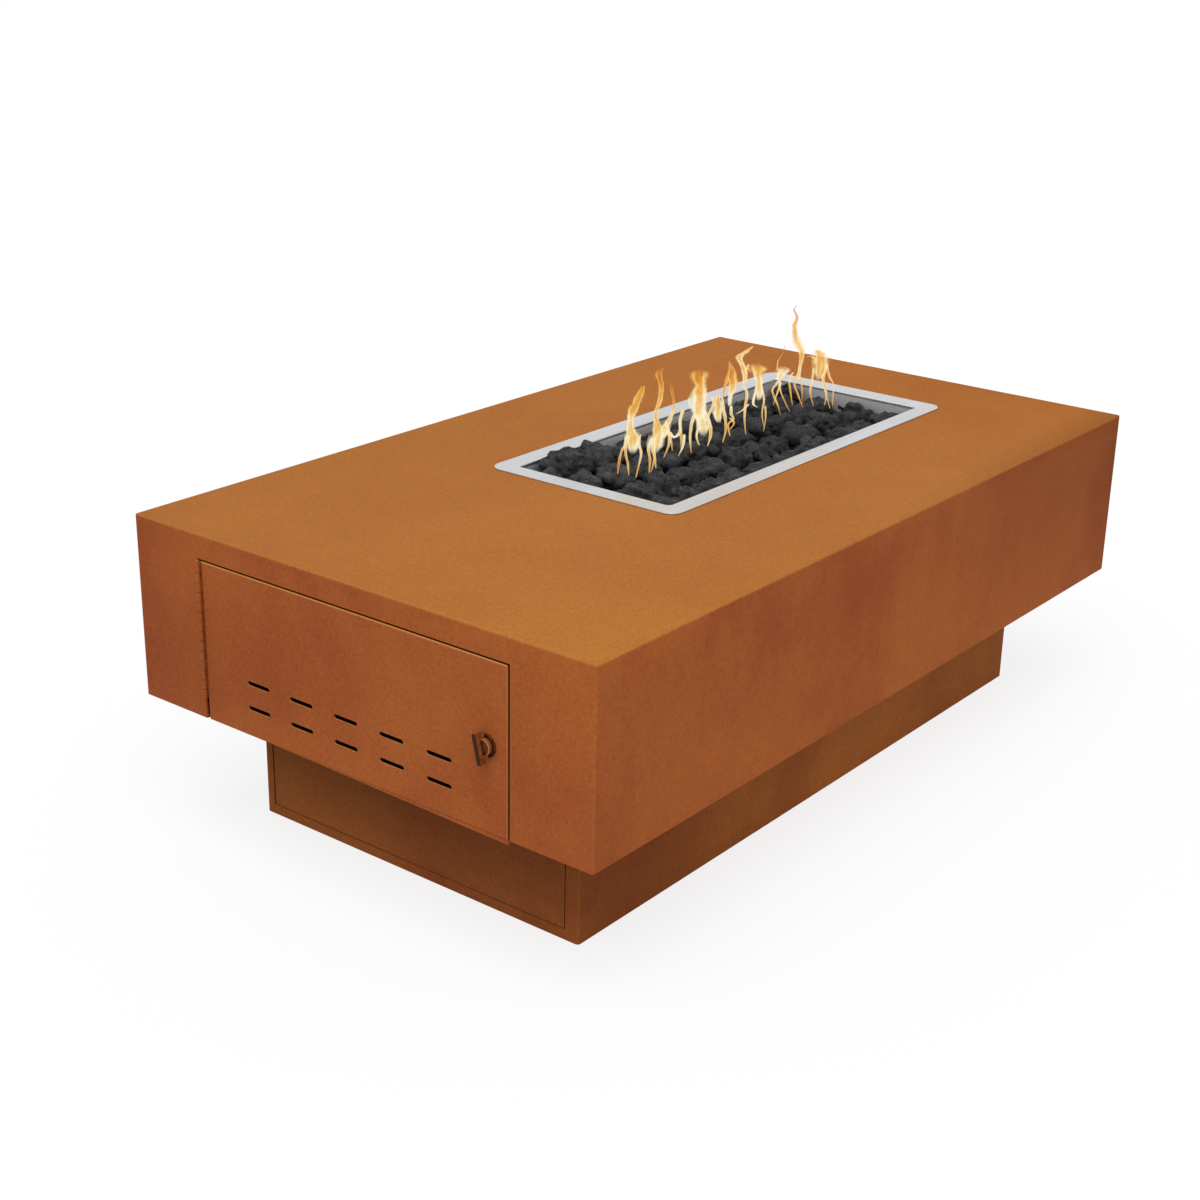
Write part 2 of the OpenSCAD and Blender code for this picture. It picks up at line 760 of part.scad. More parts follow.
function trimmed(direction, planes) =
    min([block_reach(direction), for (plane = planes)
        let (facing = direction * plane[0]) if (facing > cut_facing_share) plane[1] / facing]);

function raw_rock(seed) =
    let (planes = cut_planes(seed),
         rough = rands(-rock_rough_share, rock_rough_share, (rock_rings + 2) * rock_sides, seed + 1))
    [for (ring = [0 : rock_rings + 1],
          side = [0 : (ring == 0 || ring == rock_rings + 1 ? 0 : rock_sides - 1)])
        let (direction = unit_vector(360 * (side + (ring % 2) / 2) / rock_sides,
                                     -90 + 180 * ring / (rock_rings + 1)))
        direction * trimmed(direction, planes) * (1 + rough[ring * rock_sides + side])];

// The raw points stretched to fill a cell, with the lowest part cut flat at the seat
function rock_points(raw, size, height) =
    let (xs = [for (p = raw) p.x], ys = [for (p = raw) p.y], zs = [for (p = raw) p.z])
    [for (p = raw) [
        ((p.x - min(xs)) / (max(xs) - min(xs)) - 0.5) * (size.x - rock_gap),
        ((p.y - min(ys)) / (max(ys) - min(ys)) - 0.5) * (size.y - rock_gap),
        max(0, ((p.z - min(zs)) / (max(zs) - min(zs)) * (1 + rock_sink_share) - rock_sink_share) * height)]];

function rock_faces() =
    let (last = 1 + rock_rings * rock_sides)
    concat(
        [for (s = [0 : rock_sides - 1]) [0, 1 + s, 1 + (s + 1) % rock_sides]],
        [for (r = [0 : rock_rings - 2], s = [0 : rock_sides - 1], half = [0, 1])
            let (here = 1 + r * rock_sides, above = here + rock_sides, next = (s + 1) % rock_sides)
            half == 0
                ? (r % 2 == 0 ? [here + s, above + s, here + next] : [here + s, above + s, above + next])
                : (r % 2 == 0 ? [here + next, above + s, above + next]
                              : [here + s, above + next, here + next])],
        [for (s = [0 : rock_sides - 1])
            [last, 1 + (rock_rings - 1) * rock_sides + (s + 1) % rock_sides,
             1 + (rock_rings - 1) * rock_sides + s]]);

module lava_rocks() {
    color(rock_colour) for (j = [0 : rock_rows - 1], i = [0 : cells_in_row(j) - 1]) {
        height = rock_height * random(rock_height_shares[0], rock_height_shares[1], cell_seed(i, j));
        translate([cell_middle(i, j).x, cell_middle(i, j).y, well_floor_z + bed_level(i, j)])
            polyhedron(rock_points(raw_rock(cell_seed(i, j)), cell_size(i, j), height), rock_faces(),
                       convexity = 4);
    }
}

// Continuous hinge: each leaf carries every other knuckle

module hinge_knuckles(first, side) {
    web_start = barrel_d / 2 * web_start_share;
    for (k = [first : 2 : knuckle_count - 1])
        translate([hinge_x, hinge_y, hinge_low_z + k * knuckle_length + knuckle_gap / 2]) {
            cylinder(d = barrel_d, h = knuckle_length - knuckle_gap);
            translate([web_start, side > 0 ? leaf_gap / 2 : -leaf_gap / 2 - leaf_thickness, 0])
                cube([leaf_start - web_start + overrun, leaf_thickness, knuckle_length - knuckle_gap]);
        }
}

module hinge_leaf(first, side) {
    difference() {
        union() {
            hinge_knuckles(first, side);
            translate([hinge_x + leaf_start,
                       hinge_y + (side > 0 ? leaf_gap / 2 : -leaf_gap / 2 - leaf_thickness), hinge_low_z])
                cube([leaf_width, leaf_thickness, hinge_length]);
        }
        translate([hinge_x, hinge_y, hinge_low_z - overrun])
            cylinder(d = hinge_pin_d + 2 * running_gap, h = hinge_length + 2 * overrun);
    }
}

module hinge_leaf_body() { color(steel_colour) hinge_leaf(0, 1); }

module hinge_leaf_door() { color(steel_colour) hinge_leaf(1, -1); }

module hinge_pin() {
    color(steel_colour) translate([hinge_x, hinge_y, hinge_low_z]) {
        translate([0, 0, -pin_head_height]) cylinder(d = pin_head_d, h = pin_head_height);
        translate([0, 0, -overrun]) cylinder(d = hinge_pin_d, h = hinge_length + 2 * overrun);
        translate([0, 0, hinge_length]) cylinder(d = pin_head_d, h = pin_head_height);
    }
}

// Tabs on the free jamb's flange, which the door's folded edge closes against
module door_stops() {
    color(steel_colour) for (offset = stop_offsets)
        translate([door_back_x + rest_gap, opening_low_y, latch_z + offset - stop_height / 2])
            cube([sheet, stop_reach, stop_height]);
}

// Service door

module door_panel() {
    width = door_high_y - door_low_y;
    height = door_top_z - base_height;
    color(steel_colour) difference() {
        translate([door_face_x, (door_low_y + door_high_y) / 2, (base_height + door_top_z) / 2])
            folded_tray(width, height, door_depth);
        for (column = [0 : vent_columns - 1], row = [0, 1])
            translate([door_face_x - overrun, door_high_y - vent_inset - column * vent_pitch,
                       base_height + vent_low_row + row * vent_row_pitch])
                rotate([90, 0, 90]) linear_extrude(sheet + 2 * overrun)
                    slot_outline(vent_length, vent_height);
        along_x(door_face_x - overrun, latch_y, latch_z)
            cylinder(d = latch_barrel_d + 2 * thread_gap, h = sheet + 2 * overrun);
    }
}

// Wedge-shaped strip on edge, which grows towards the door's free side
module door_pull_lip() {
    color(steel_colour) translate([door_face_x + lip_setback, door_low_y, base_height]) rotate([90, 0, 90])
        linear_extrude(sheet) polygon([[0, 0], [0, -pull_lip_drop], [pull_lip_length, 0]]);
}

module latch_body() {
    length = cam_x - weld_gap - door_face_x;
    color(bronze_colour) difference() {
        union() {
            along_x(door_face_x - escutcheon_thickness, latch_y, latch_z)
                cylinder(d = escutcheon_d, h = escutcheon_thickness);
            along_x(door_face_x - escutcheon_thickness, latch_y, latch_z)
                cylinder(d = latch_barrel_d, h = length + escutcheon_thickness);
        }
        along_x(door_face_x - escutcheon_thickness - overrun, latch_y, latch_z)
            cylinder(d = spindle_d + 2 * running_gap, h = length + escutcheon_thickness + 2 * overrun);
    }
}

module latch_nut() {
    color(zinc_colour) along_x(door_face_x + sheet, latch_y, latch_z) difference() {
        hexagon(latch_nut_flats, latch_nut_thickness);
        translate([0, 0, -overrun])
            cylinder(d = latch_barrel_d + 2 * thread_gap, h = latch_nut_thickness + 2 * overrun);
    }
}

// Hub, dome, wing and spindle in one casting, turned as the photo shows it
module latch_knob() {
    start_x = door_face_x - escutcheon_thickness - rest_gap;
    dome_base_d = knob_hub_d;
    dome_radius = (pow(dome_base_d / 2, 2) + pow(knob_dome_height, 2)) / (2 * knob_dome_height);
    color(bronze_colour) translate([0, latch_y, latch_z]) rotate([-wing_tilt, 0, 0]) difference() {
        union() {
            along_x(start_x - knob_hub_height) cylinder(d = knob_hub_d, h = knob_hub_height);
            intersection() {
                translate([start_x - knob_hub_height - knob_dome_height + dome_radius, 0, 0])
                    sphere(dome_radius);
                along_x(start_x - knob_hub_height - knob_dome_height - overrun)
                    cylinder(d = knob_hub_d, h = knob_dome_height + overrun);
            }
            translate([door_face_x - (wing_root + wing_proud) / 2, 0, 0]) rotate([90, 0, 0])
                linear_extrude(wing_thickness, center = true)
                    rounded_outline(wing_proud - wing_root, wing_length, wing_corner);
            along_x(start_x) cylinder(d = spindle_d, h = cam_x - start_x);
            along_x(start_x) translate([-spindle_square / 2, -spindle_square / 2, 0])
                cube([spindle_square, spindle_square, cam_x + cam_thickness - start_x]);
        }
        along_x(cam_x + cam_thickness - cam_screw_length)
            cylinder(d = cam_screw_d + thread_gap, h = cam_screw_length + overrun);
    }
}

// Cam plate: hangs from the spindle and reaches behind the jamb's flange when turned
module latch_cam() {
    hole = spindle_square + thread_gap;
    color(zinc_colour) translate([cam_x, latch_y, latch_z]) rotate([-wing_tilt, 0, 0]) rotate([90, 0, 90])
        linear_extrude(cam_thickness) difference() {
            union() {
                circle(d = cam_width);
                translate([-cam_width / 2, -cam_reach + cam_width / 2])
                    square([cam_width, cam_reach - cam_width / 2]);
                translate([0, -cam_reach + cam_width / 2]) circle(d = cam_width);
            }
            square([hole, hole], center = true);
        }
}

module latch_cam_screw() {
    color(zinc_colour) {
        along_x(cam_x + cam_thickness, latch_y, latch_z)
            cylinder(d = cam_screw_head_d, h = cam_screw_head_height);
        along_x(cam_x + cam_thickness - cam_screw_length + overrun, latch_y, latch_z)
            cylinder(d = cam_screw_d, h = cam_screw_length);
    }
}

// Gas line

// Elbow with one leg down and one leg along +X, its axes crossing at the origin
module pipe_elbow() {
    socket_d = pipe_d + 2 * thread_gap;
    difference() {
        union() {
            translate([0, 0, -elbow_bend - elbow_socket]) cylinder(d = elbow_d, h = elbow_socket);
            along_x(elbow_bend) cylinder(d = elbow_d, h = elbow_socket);
            elbow_arc(elbow_d);
        }
        translate([0, 0, -elbow_bend - elbow_socket - overrun])
            cylinder(d = socket_d, h = socket_insert + overrun);
        along_x(elbow_bend + elbow_socket - socket_insert)
            cylinder(d = socket_d, h = socket_insert + overrun);
        elbow_arc(pipe_bore);
        translate([0, 0, -elbow_bend - elbow_socket]) cylinder(d = pipe_bore, h = elbow_socket);
        along_x(elbow_bend) cylinder(d = pipe_bore, h = elbow_socket);
    }
}

module elbow_arc(diameter) {
    translate([elbow_bend, 0, -elbow_bend]) rotate([90, 0, 0]) rotate([0, 0, 90])
        rotate_extrude(angle = 90) translate([elbow_bend, 0]) circle(d = diameter);
}

module burner_coupling() {
    color(brass_colour) translate([pan_x, pan_y, coupling_z]) difference() {
        cylinder(d = elbow_d, h = coupling_length);
        translate([0, 0, -overrun]) cylinder(d = pipe_bore, h = coupling_length + 2 * overrun);
        for (z = [-overrun, coupling_length - socket_insert])
            translate([0, 0, z]) cylinder(d = pipe_d + 2 * thread_gap, h = socket_insert + overrun);
    }
}

module riser_elbow() {
    color(zinc_colour) translate([riser_x, pan_y, valve_height]) pipe_elbow();
}

module gas_riser() {
    top = valve_height - elbow_bend - elbow_socket + socket_insert;
    color(zinc_colour) translate([riser_x, pan_y, inlet_height]) difference() {
        union() {
            cylinder(d = thread_d, h = thread_length + overrun);
            translate([0, 0, thread_length]) cylinder(d = pipe_d, h = top - inlet_height - thread_length);
        }
        translate([0, 0, -overrun]) cylinder(d = pipe_bore, h = top - inlet_height + 2 * overrun);
    }
}

module inlet_nipple() {
    color(zinc_colour) along_x(nipple_start_x - socket_insert, pan_y, valve_height)
        ring(pipe_d, pipe_bore, nipple_bare + 2 * socket_insert);
}

module shutoff_valve_body() {
    socket_d = pipe_d + 2 * thread_gap;
    color(brass_colour) translate([0, pan_y, valve_height]) difference() {
        union() {
            along_x(valve_start_x) hexagon(valve_hex_flats, valve_hex_length);
            along_x(valve_end_x - valve_hex_length) hexagon(valve_hex_flats, valve_hex_length);
            along_x(valve_start_x + valve_hex_length - overrun)
                cylinder(d = valve_body_d, h = valve_length - 2 * valve_hex_length + 2 * overrun);
            translate([valve_x, 0, 0]) cylinder(d = stem_housing_d, h = stem_housing_height);
        }
        along_x(valve_start_x - overrun) cylinder(d = socket_d, h = socket_insert + 2 * overrun);
        along_x(valve_end_x - socket_insert - overrun) cylinder(d = socket_d, h = socket_insert + 2 * overrun);
        along_x(valve_start_x) cylinder(d = pipe_bore, h = valve_length);
        translate([valve_x, 0, stem_seat_z])
            cylinder(d = stem_d + 2 * running_gap, h = stem_housing_height);
    }
}

module valve_stem() {
    bottom = stem_seat_z + rest_gap;
    shoulder = stem_housing_height + rest_gap;
    color(brass_colour) translate([valve_x, pan_y, valve_height]) {
        translate([0, 0, bottom]) cylinder(d = stem_d, h = shoulder - bottom);
        translate([-handle_flat / 2, -handle_flat / 2, bottom])
            cube([handle_flat, handle_flat, shoulder + handle_thickness - bottom]);
        translate([0, 0, bottom]) cylinder(d = handle_flat - thread_gap, h = shoulder + stem_rise - bottom);
    }
}

// Lever that lies along the pipe when the valve is open and points to the door
module valve_handle() {
    hole = handle_flat + thread_gap;
    color(grip_colour) translate([valve_x, pan_y, valve_height + stem_housing_height + rest_gap])
        linear_extrude(handle_thickness) difference() {
            union() {
                circle(d = handle_width);
                translate([-lever_length + handle_width / 2, -handle_width / 2])
                    square([lever_length - handle_width / 2, handle_width]);
                translate([-lever_length + handle_width / 2, 0]) circle(d = handle_width);
            }
            square([hole, hole], center = true);
        }
}

module valve_handle_nut() {
    z = valve_height + stem_housing_height + rest_gap + handle_thickness;
    color(zinc_colour) translate([valve_x, pan_y, z]) difference() {
        hexagon(handle_nut_flats, handle_nut_thickness);
        translate([0, 0, -overrun]) cylinder(d = handle_flat, h = handle_nut_thickness + 2 * overrun);
    }
}

// Folded bracket whose upright holds the nipple between the elbow and the valve
module valve_bracket() {
    upright_x = nipple_start_x + (nipple_bare - bracket_thickness) / 2;
    color(zinc_colour) difference() {
        union() {
            translate([upright_x, pan_y - bracket_width / 2, under_top_z])
                cube([bracket_foot, bracket_width, bracket_thickness]);
            translate([upright_x, pan_y - bracket_width / 2, under_top_z])
                cube([bracket_thickness, bracket_width, valve_height + pipe_d - under_top_z]);
        }
        along_x(upright_x - overrun, pan_y, valve_height)
            cylinder(d = pipe_d + 2 * thread_gap, h = bracket_thickness + 2 * overrun);
        for (p = bracket_screw_places()) translate([p.x, p.y, under_top_z - overrun])
            cylinder(d = bracket_screw_d + thread_gap, h = bracket_thickness + 2 * overrun);
    }
}

function bracket_screw_places() = [for (side = [-1, 1])
    [nipple_start_x + bracket_foot * bracket_screw_share, pan_y + side * bracket_width * bracket_screw_side_share]];

module valve_bracket_screws() {
    head_height = bracket_screw_d * bolt_head_height_ratio;
    color(zinc_colour) for (p = bracket_screw_places()) translate([p.x, p.y, base_height]) {
        cylinder(d = bracket_screw_d, h = sheet + bracket_thickness + overrun);
        translate([0, 0, sheet + bracket_thickness])
            hexagon(bracket_screw_d * bolt_head_flats_ratio, head_height);
    }
}

// Spigot towards -X and hexagon with the hose's socket towards +X
module hose_fitting() {
    difference() {
        union() {
            along_x(-socket_insert) cylinder(d = pipe_d, h = socket_insert + overrun);
            along_x() hexagon(fitting_hex_flats, fitting_hex_length);
        }
        along_x(-socket_insert - overrun)
            cylinder(d = hose_d - 2 * hose_wall, h = socket_insert + fitting_hex_length + 2 * overrun);
        along_x(fitting_hex_length - socket_insert)
            cylinder(d = hose_d + 2 * thread_gap, h = socket_insert + overrun);
    }
}

module hose_fittings() {
    color(brass_colour) {
        translate([valve_end_x, pan_y, valve_height]) hose_fitting();
        translate([pan_x, pan_y, coupling_z]) rotate([0, 90, 0]) hose_fitting();
    }
}

// Path of the hose: level from the valve, then one bend upward to the fitting under the burner
module hose_run(diameter, extra) {
    bend_x = pan_x - hose_bend;
    bend_z = valve_height + hose_bend;
    along_x(hose_start_x - extra, 0, valve_height)
        cylinder(d = diameter, h = bend_x - hose_start_x + extra);
    translate([bend_x, 0, bend_z]) rotate([90, 0, 0]) rotate([0, 0, -90]) rotate_extrude(angle = 90)
        translate([hose_bend, 0]) circle(d = diameter);
    translate([pan_x, 0, bend_z]) cylinder(d = diameter, h = hose_lead + socket_insert + extra);
}

module flex_hose() {
    color(hose_colour) translate([0, pan_y, 0]) difference() {
        hose_run(hose_d, 0);
        hose_run(hose_d - 2 * hose_wall, overrun);
    }
}

body_shell();
underside_plate();
cross_member_service();
cross_member_far();
base_shell();
base_floor_plate();
base_end_panel();
end_panel_screws();
plinth_bolts();
plinth_nuts();
fire_pan();
burner_tube();
burner_end_caps();
burner_inlet();
burner_locknuts();
burner_saddles();
lava_bed();
lava_rocks();
hinge_leaf_body();
hinge_pin();
door_stops();
door_panel();
hinge_leaf_door();
door_pull_lip();
latch_body();
latch_nut();
latch_knob();
latch_cam();
latch_cam_screw();
burner_coupling();
hose_fittings();
flex_hose();
shutoff_valve_body();
valve_stem();
valve_handle();
valve_handle_nut();
valve_bracket();
valve_bracket_screws();
inlet_nipple();
riser_elbow();
gas_riser();
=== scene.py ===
"""Looks of a weathered-steel gas fire table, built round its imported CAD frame.

Lengths are metres in the frame of the CAD part: the origin is on the floor at the middle of the plinth,
+X runs along the table away from the service door, and +Z is up.
"""

import logging
import math
import random
from dataclasses import dataclass, field
from enum import Enum

import bpy
from mathutils import Matrix, Vector


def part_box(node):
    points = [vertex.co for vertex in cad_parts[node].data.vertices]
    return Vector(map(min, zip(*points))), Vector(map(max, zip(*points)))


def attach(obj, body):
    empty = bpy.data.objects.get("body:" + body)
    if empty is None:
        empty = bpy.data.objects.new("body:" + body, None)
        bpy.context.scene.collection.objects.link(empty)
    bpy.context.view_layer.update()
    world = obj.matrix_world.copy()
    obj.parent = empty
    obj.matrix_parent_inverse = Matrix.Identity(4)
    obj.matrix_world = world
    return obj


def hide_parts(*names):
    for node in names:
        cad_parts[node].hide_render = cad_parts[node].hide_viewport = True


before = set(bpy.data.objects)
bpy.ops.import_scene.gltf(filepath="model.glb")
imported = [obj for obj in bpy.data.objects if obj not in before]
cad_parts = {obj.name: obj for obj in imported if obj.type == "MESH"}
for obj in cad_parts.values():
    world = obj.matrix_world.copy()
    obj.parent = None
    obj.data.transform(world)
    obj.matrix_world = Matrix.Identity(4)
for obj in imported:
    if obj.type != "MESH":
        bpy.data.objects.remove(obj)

LOG = logging.getLogger("fire_table")
Colour = tuple[float, float, float]
Point = tuple[float, float, float]


class Body(Enum):
    """The rigid bodies of the part that a piece can ride on."""

    TABLE = "table"
    DOOR = "door"
    LATCH = "latch"
    VALVE_LEVER = "valve_lever"


class Slot(Enum):
    """The record's material slots."""

    STEEL = "weathered_steel"
    DARK_STEEL = "weathered_steel_dark"
    STAINLESS = "stainless"
    ROCK = "lava_rock"
    BRONZE = "dark_bronze"
    BRASS = "brass"
    ZINC = "zinc_steel"
    HOSE = "hose_coating"
    GRIP = "lever_grip"


# Shader building


class NodeSheet:
    """One material's node tree, with short ways to add and join nodes."""

    def __init__(self, name: str) -> None:
        """Starts an empty material.

        Args:
            name: The material's name.
        """
        self.material = bpy.data.materials.new(name)
        self.material.use_nodes = True
        self.tree = self.material.node_tree
        self.tree.nodes.clear()
        self.output = self.tree.nodes.new("ShaderNodeOutputMaterial")

    def add(self, kind: str, **settings: object) -> bpy.types.Node:
        """Adds a node.

        Args:
            kind: The node's type, without the ShaderNode prefix.
            settings: Attributes of the node, or values of its input sockets by name.

        Returns:
            The new node.
        """
        node = self.tree.nodes.new("ShaderNode" + kind)
        for key, value in settings.items():
            if hasattr(node, key):
                setattr(node, key, value)
            else:
                node.inputs[key.replace("_", " ")].default_value = value
        return node

    def join(self, source: bpy.types.NodeSocket, target: bpy.types.NodeSocket) -> None:
        """Links one socket to another."""
        self.tree.links.new(source, target)

    def place(self, stretch: Point = (1.0, 1.0, 1.0)) -> bpy.types.NodeSocket:
        """Object coordinates through a mapping.

        Args:
            stretch: Scale along each axis.

        Returns:
            The mapped coordinates.
        """
        where = self.add("TexCoord")
        mapping = self.add("Mapping")
        mapping.inputs["Scale"].default_value = stretch
        self.join(where.outputs["Object"], mapping.inputs["Vector"])
        return mapping.outputs["Vector"]

    def noise(
        self,
        vector: bpy.types.NodeSocket,
        scale: float,
        detail: float = 4.0,
        roughness: float = 0.55,
        distortion: float = 0.0,
    ) -> bpy.types.NodeSocket:
        """Cloudy noise.

        Args:
            vector: Coordinates.
            scale: Number of lumps to a metre.
            detail: Octaves.
            roughness: Weight of the finer octaves.
            distortion: How far the noise folds over itself.

        Returns:
            The noise, from 0 to 1.
        """
        node = self.add("TexNoise", Scale=scale, Detail=detail, Roughness=roughness, Distortion=distortion)
        self.join(vector, node.inputs["Vector"])
        return node.outputs["Fac"]

    def ramp(
        self, source: bpy.types.NodeSocket, stops: tuple[tuple[float, Colour], ...], smooth: bool = True
    ) -> bpy.types.NodeSocket:
        """A colour ramp.

        Args:
            source: A value from 0 to 1.
            stops: Position and colour of each stop, at least two.
            smooth: Ease between the stops.

        Returns:
            The colour.
        """
        node = self.add("ValToRGB")
        node.color_ramp.interpolation = "EASE" if smooth else "LINEAR"
        elements = node.color_ramp.elements
        while len(elements) < len(stops):
            elements.new(0.5)
        for element, (position, colour) in zip(elements, stops):
            element.position = position
            element.color = (*colour, 1.0)
        self.join(source, node.inputs["Fac"])
        return node.outputs["Color"]

    def spread(
        self, source: bpy.types.NodeSocket, low: float, high: float, start: float = 0.0, end: float = 1.0
    ) -> bpy.types.NodeSocket:
        """Maps a value's range onto another, clamped.

        Args:
            source: The value.
            low: Result at start.
            high: Result at end.
            start: Where the range begins.
            end: Where the range ends.

        Returns:
            The mapped value.
        """
        node = self.add("MapRange")
        node.inputs["From Min"].default_value = start
        node.inputs["From Max"].default_value = end
        node.inputs["To Min"].default_value = low
        node.inputs["To Max"].default_value = high
        self.join(source, node.inputs["Value"])
        return node.outputs["Result"]

    def blend(
        self,
        amount: bpy.types.NodeSocket | float,
        first: bpy.types.NodeSocket | Colour,
        second: bpy.types.NodeSocket | Colour,
        mode: str = "MIX",
    ) -> bpy.types.NodeSocket:
        """Blends two colours.

        Args:
            amount: Share of the second colour.
            first: Colour, or a socket that gives one.
            second: Colour, or a socket that gives one.
            mode: How they blend.

        Returns:
            The blended colour.
        """
        node = self.add("Mix", data_type="RGBA", blend_type=mode)
        for socket, value in ((node.inputs[0], amount), (node.inputs[6], first), (node.inputs[7], second)):
            if isinstance(value, bpy.types.NodeSocket):
                self.join(value, socket)
            elif isinstance(value, tuple):
                socket.default_value = (*value, 1.0)
            else:
                socket.default_value = value
        return node.outputs[2]

    def near(self, where: Point, reach: Point) -> bpy.types.NodeSocket:
        """A soft round area.

        Args:
            where: Its middle, in metres.
            reach: How far it reaches along each axis, in metres.

        Returns:
            1 at the middle, falling to 0 at the reach.
        """
        spot = self.add("TexCoord")
        mapping = self.add("Mapping")
        mapping.inputs["Scale"].default_value = tuple(1.0 / r for r in reach)
        mapping.inputs["Location"].default_value = tuple(-w / r for w, r in zip(where, reach))
        self.join(spot.outputs["Object"], mapping.inputs["Vector"])
        away = self.add("VectorMath", operation="LENGTH")
        self.join(mapping.outputs["Vector"], away.inputs[0])
        return self.spread(away.outputs["Value"], 1.0, 0.0, 0.0, 1.0)

    def reckon(
        self, operation: str, first: bpy.types.NodeSocket | float, second: bpy.types.NodeSocket | float = 0.0
    ) -> bpy.types.NodeSocket:
        """One step of arithmetic.

        Args:
            operation: ADD, MULTIPLY, SUBTRACT, MAXIMUM and so on.
            first: Value or socket.
            second: Value or socket.

        Returns:
            The result.
        """
        node = self.add("Math", operation=operation)
        for socket, value in zip(node.inputs, (first, second)):
            if isinstance(value, bpy.types.NodeSocket):
                self.join(value, socket)
            else:
                socket.default_value = value
        return node.outputs["Value"]

    def relief(
        self,
        height: bpy.types.NodeSocket,
        strength: float,
        distance: float,
        under: bpy.types.NodeSocket | None = None,
    ) -> bpy.types.NodeSocket:
        """A bump.

        Args:
            height: The height, from 0 to 1.
            strength: Share of the bump that shows.
            distance: Height in metres of a full step.
            under: A normal that this bump adds to.

        Returns:
            The bumped normal.
        """
        node = self.add("Bump", Strength=strength, Distance=distance)
        self.join(height, node.inputs["Height"])
        if under is not None:
            self.join(under, node.inputs["Normal"])
        return node.outputs["Normal"]

    def surface(self, metallic: float = 0.0, roughness: float = 0.5, specular: float = 0.5) -> bpy.types.Node:
        """A Principled shader, joined to the output.

        Args:
            metallic: Share of bare metal, from 0 to 1.
            roughness: Roughness where no texture drives it.
            specular: Specular level.

        Returns:
            The shader node.
        """
        shader = self.add("BsdfPrincipled", Metallic=metallic, Roughness=roughness)
        shader.inputs["Specular IOR Level"].default_value = specular
        self.join(shader.outputs["BSDF"], self.output.inputs["Surface"])
        return shader


# Finishes


@dataclass(frozen=True)
class SoftTint:
    """A broad soft area whose colour is made darker or brighter than elsewhere."""

    where: Point
    reach: Point
    tint: Colour


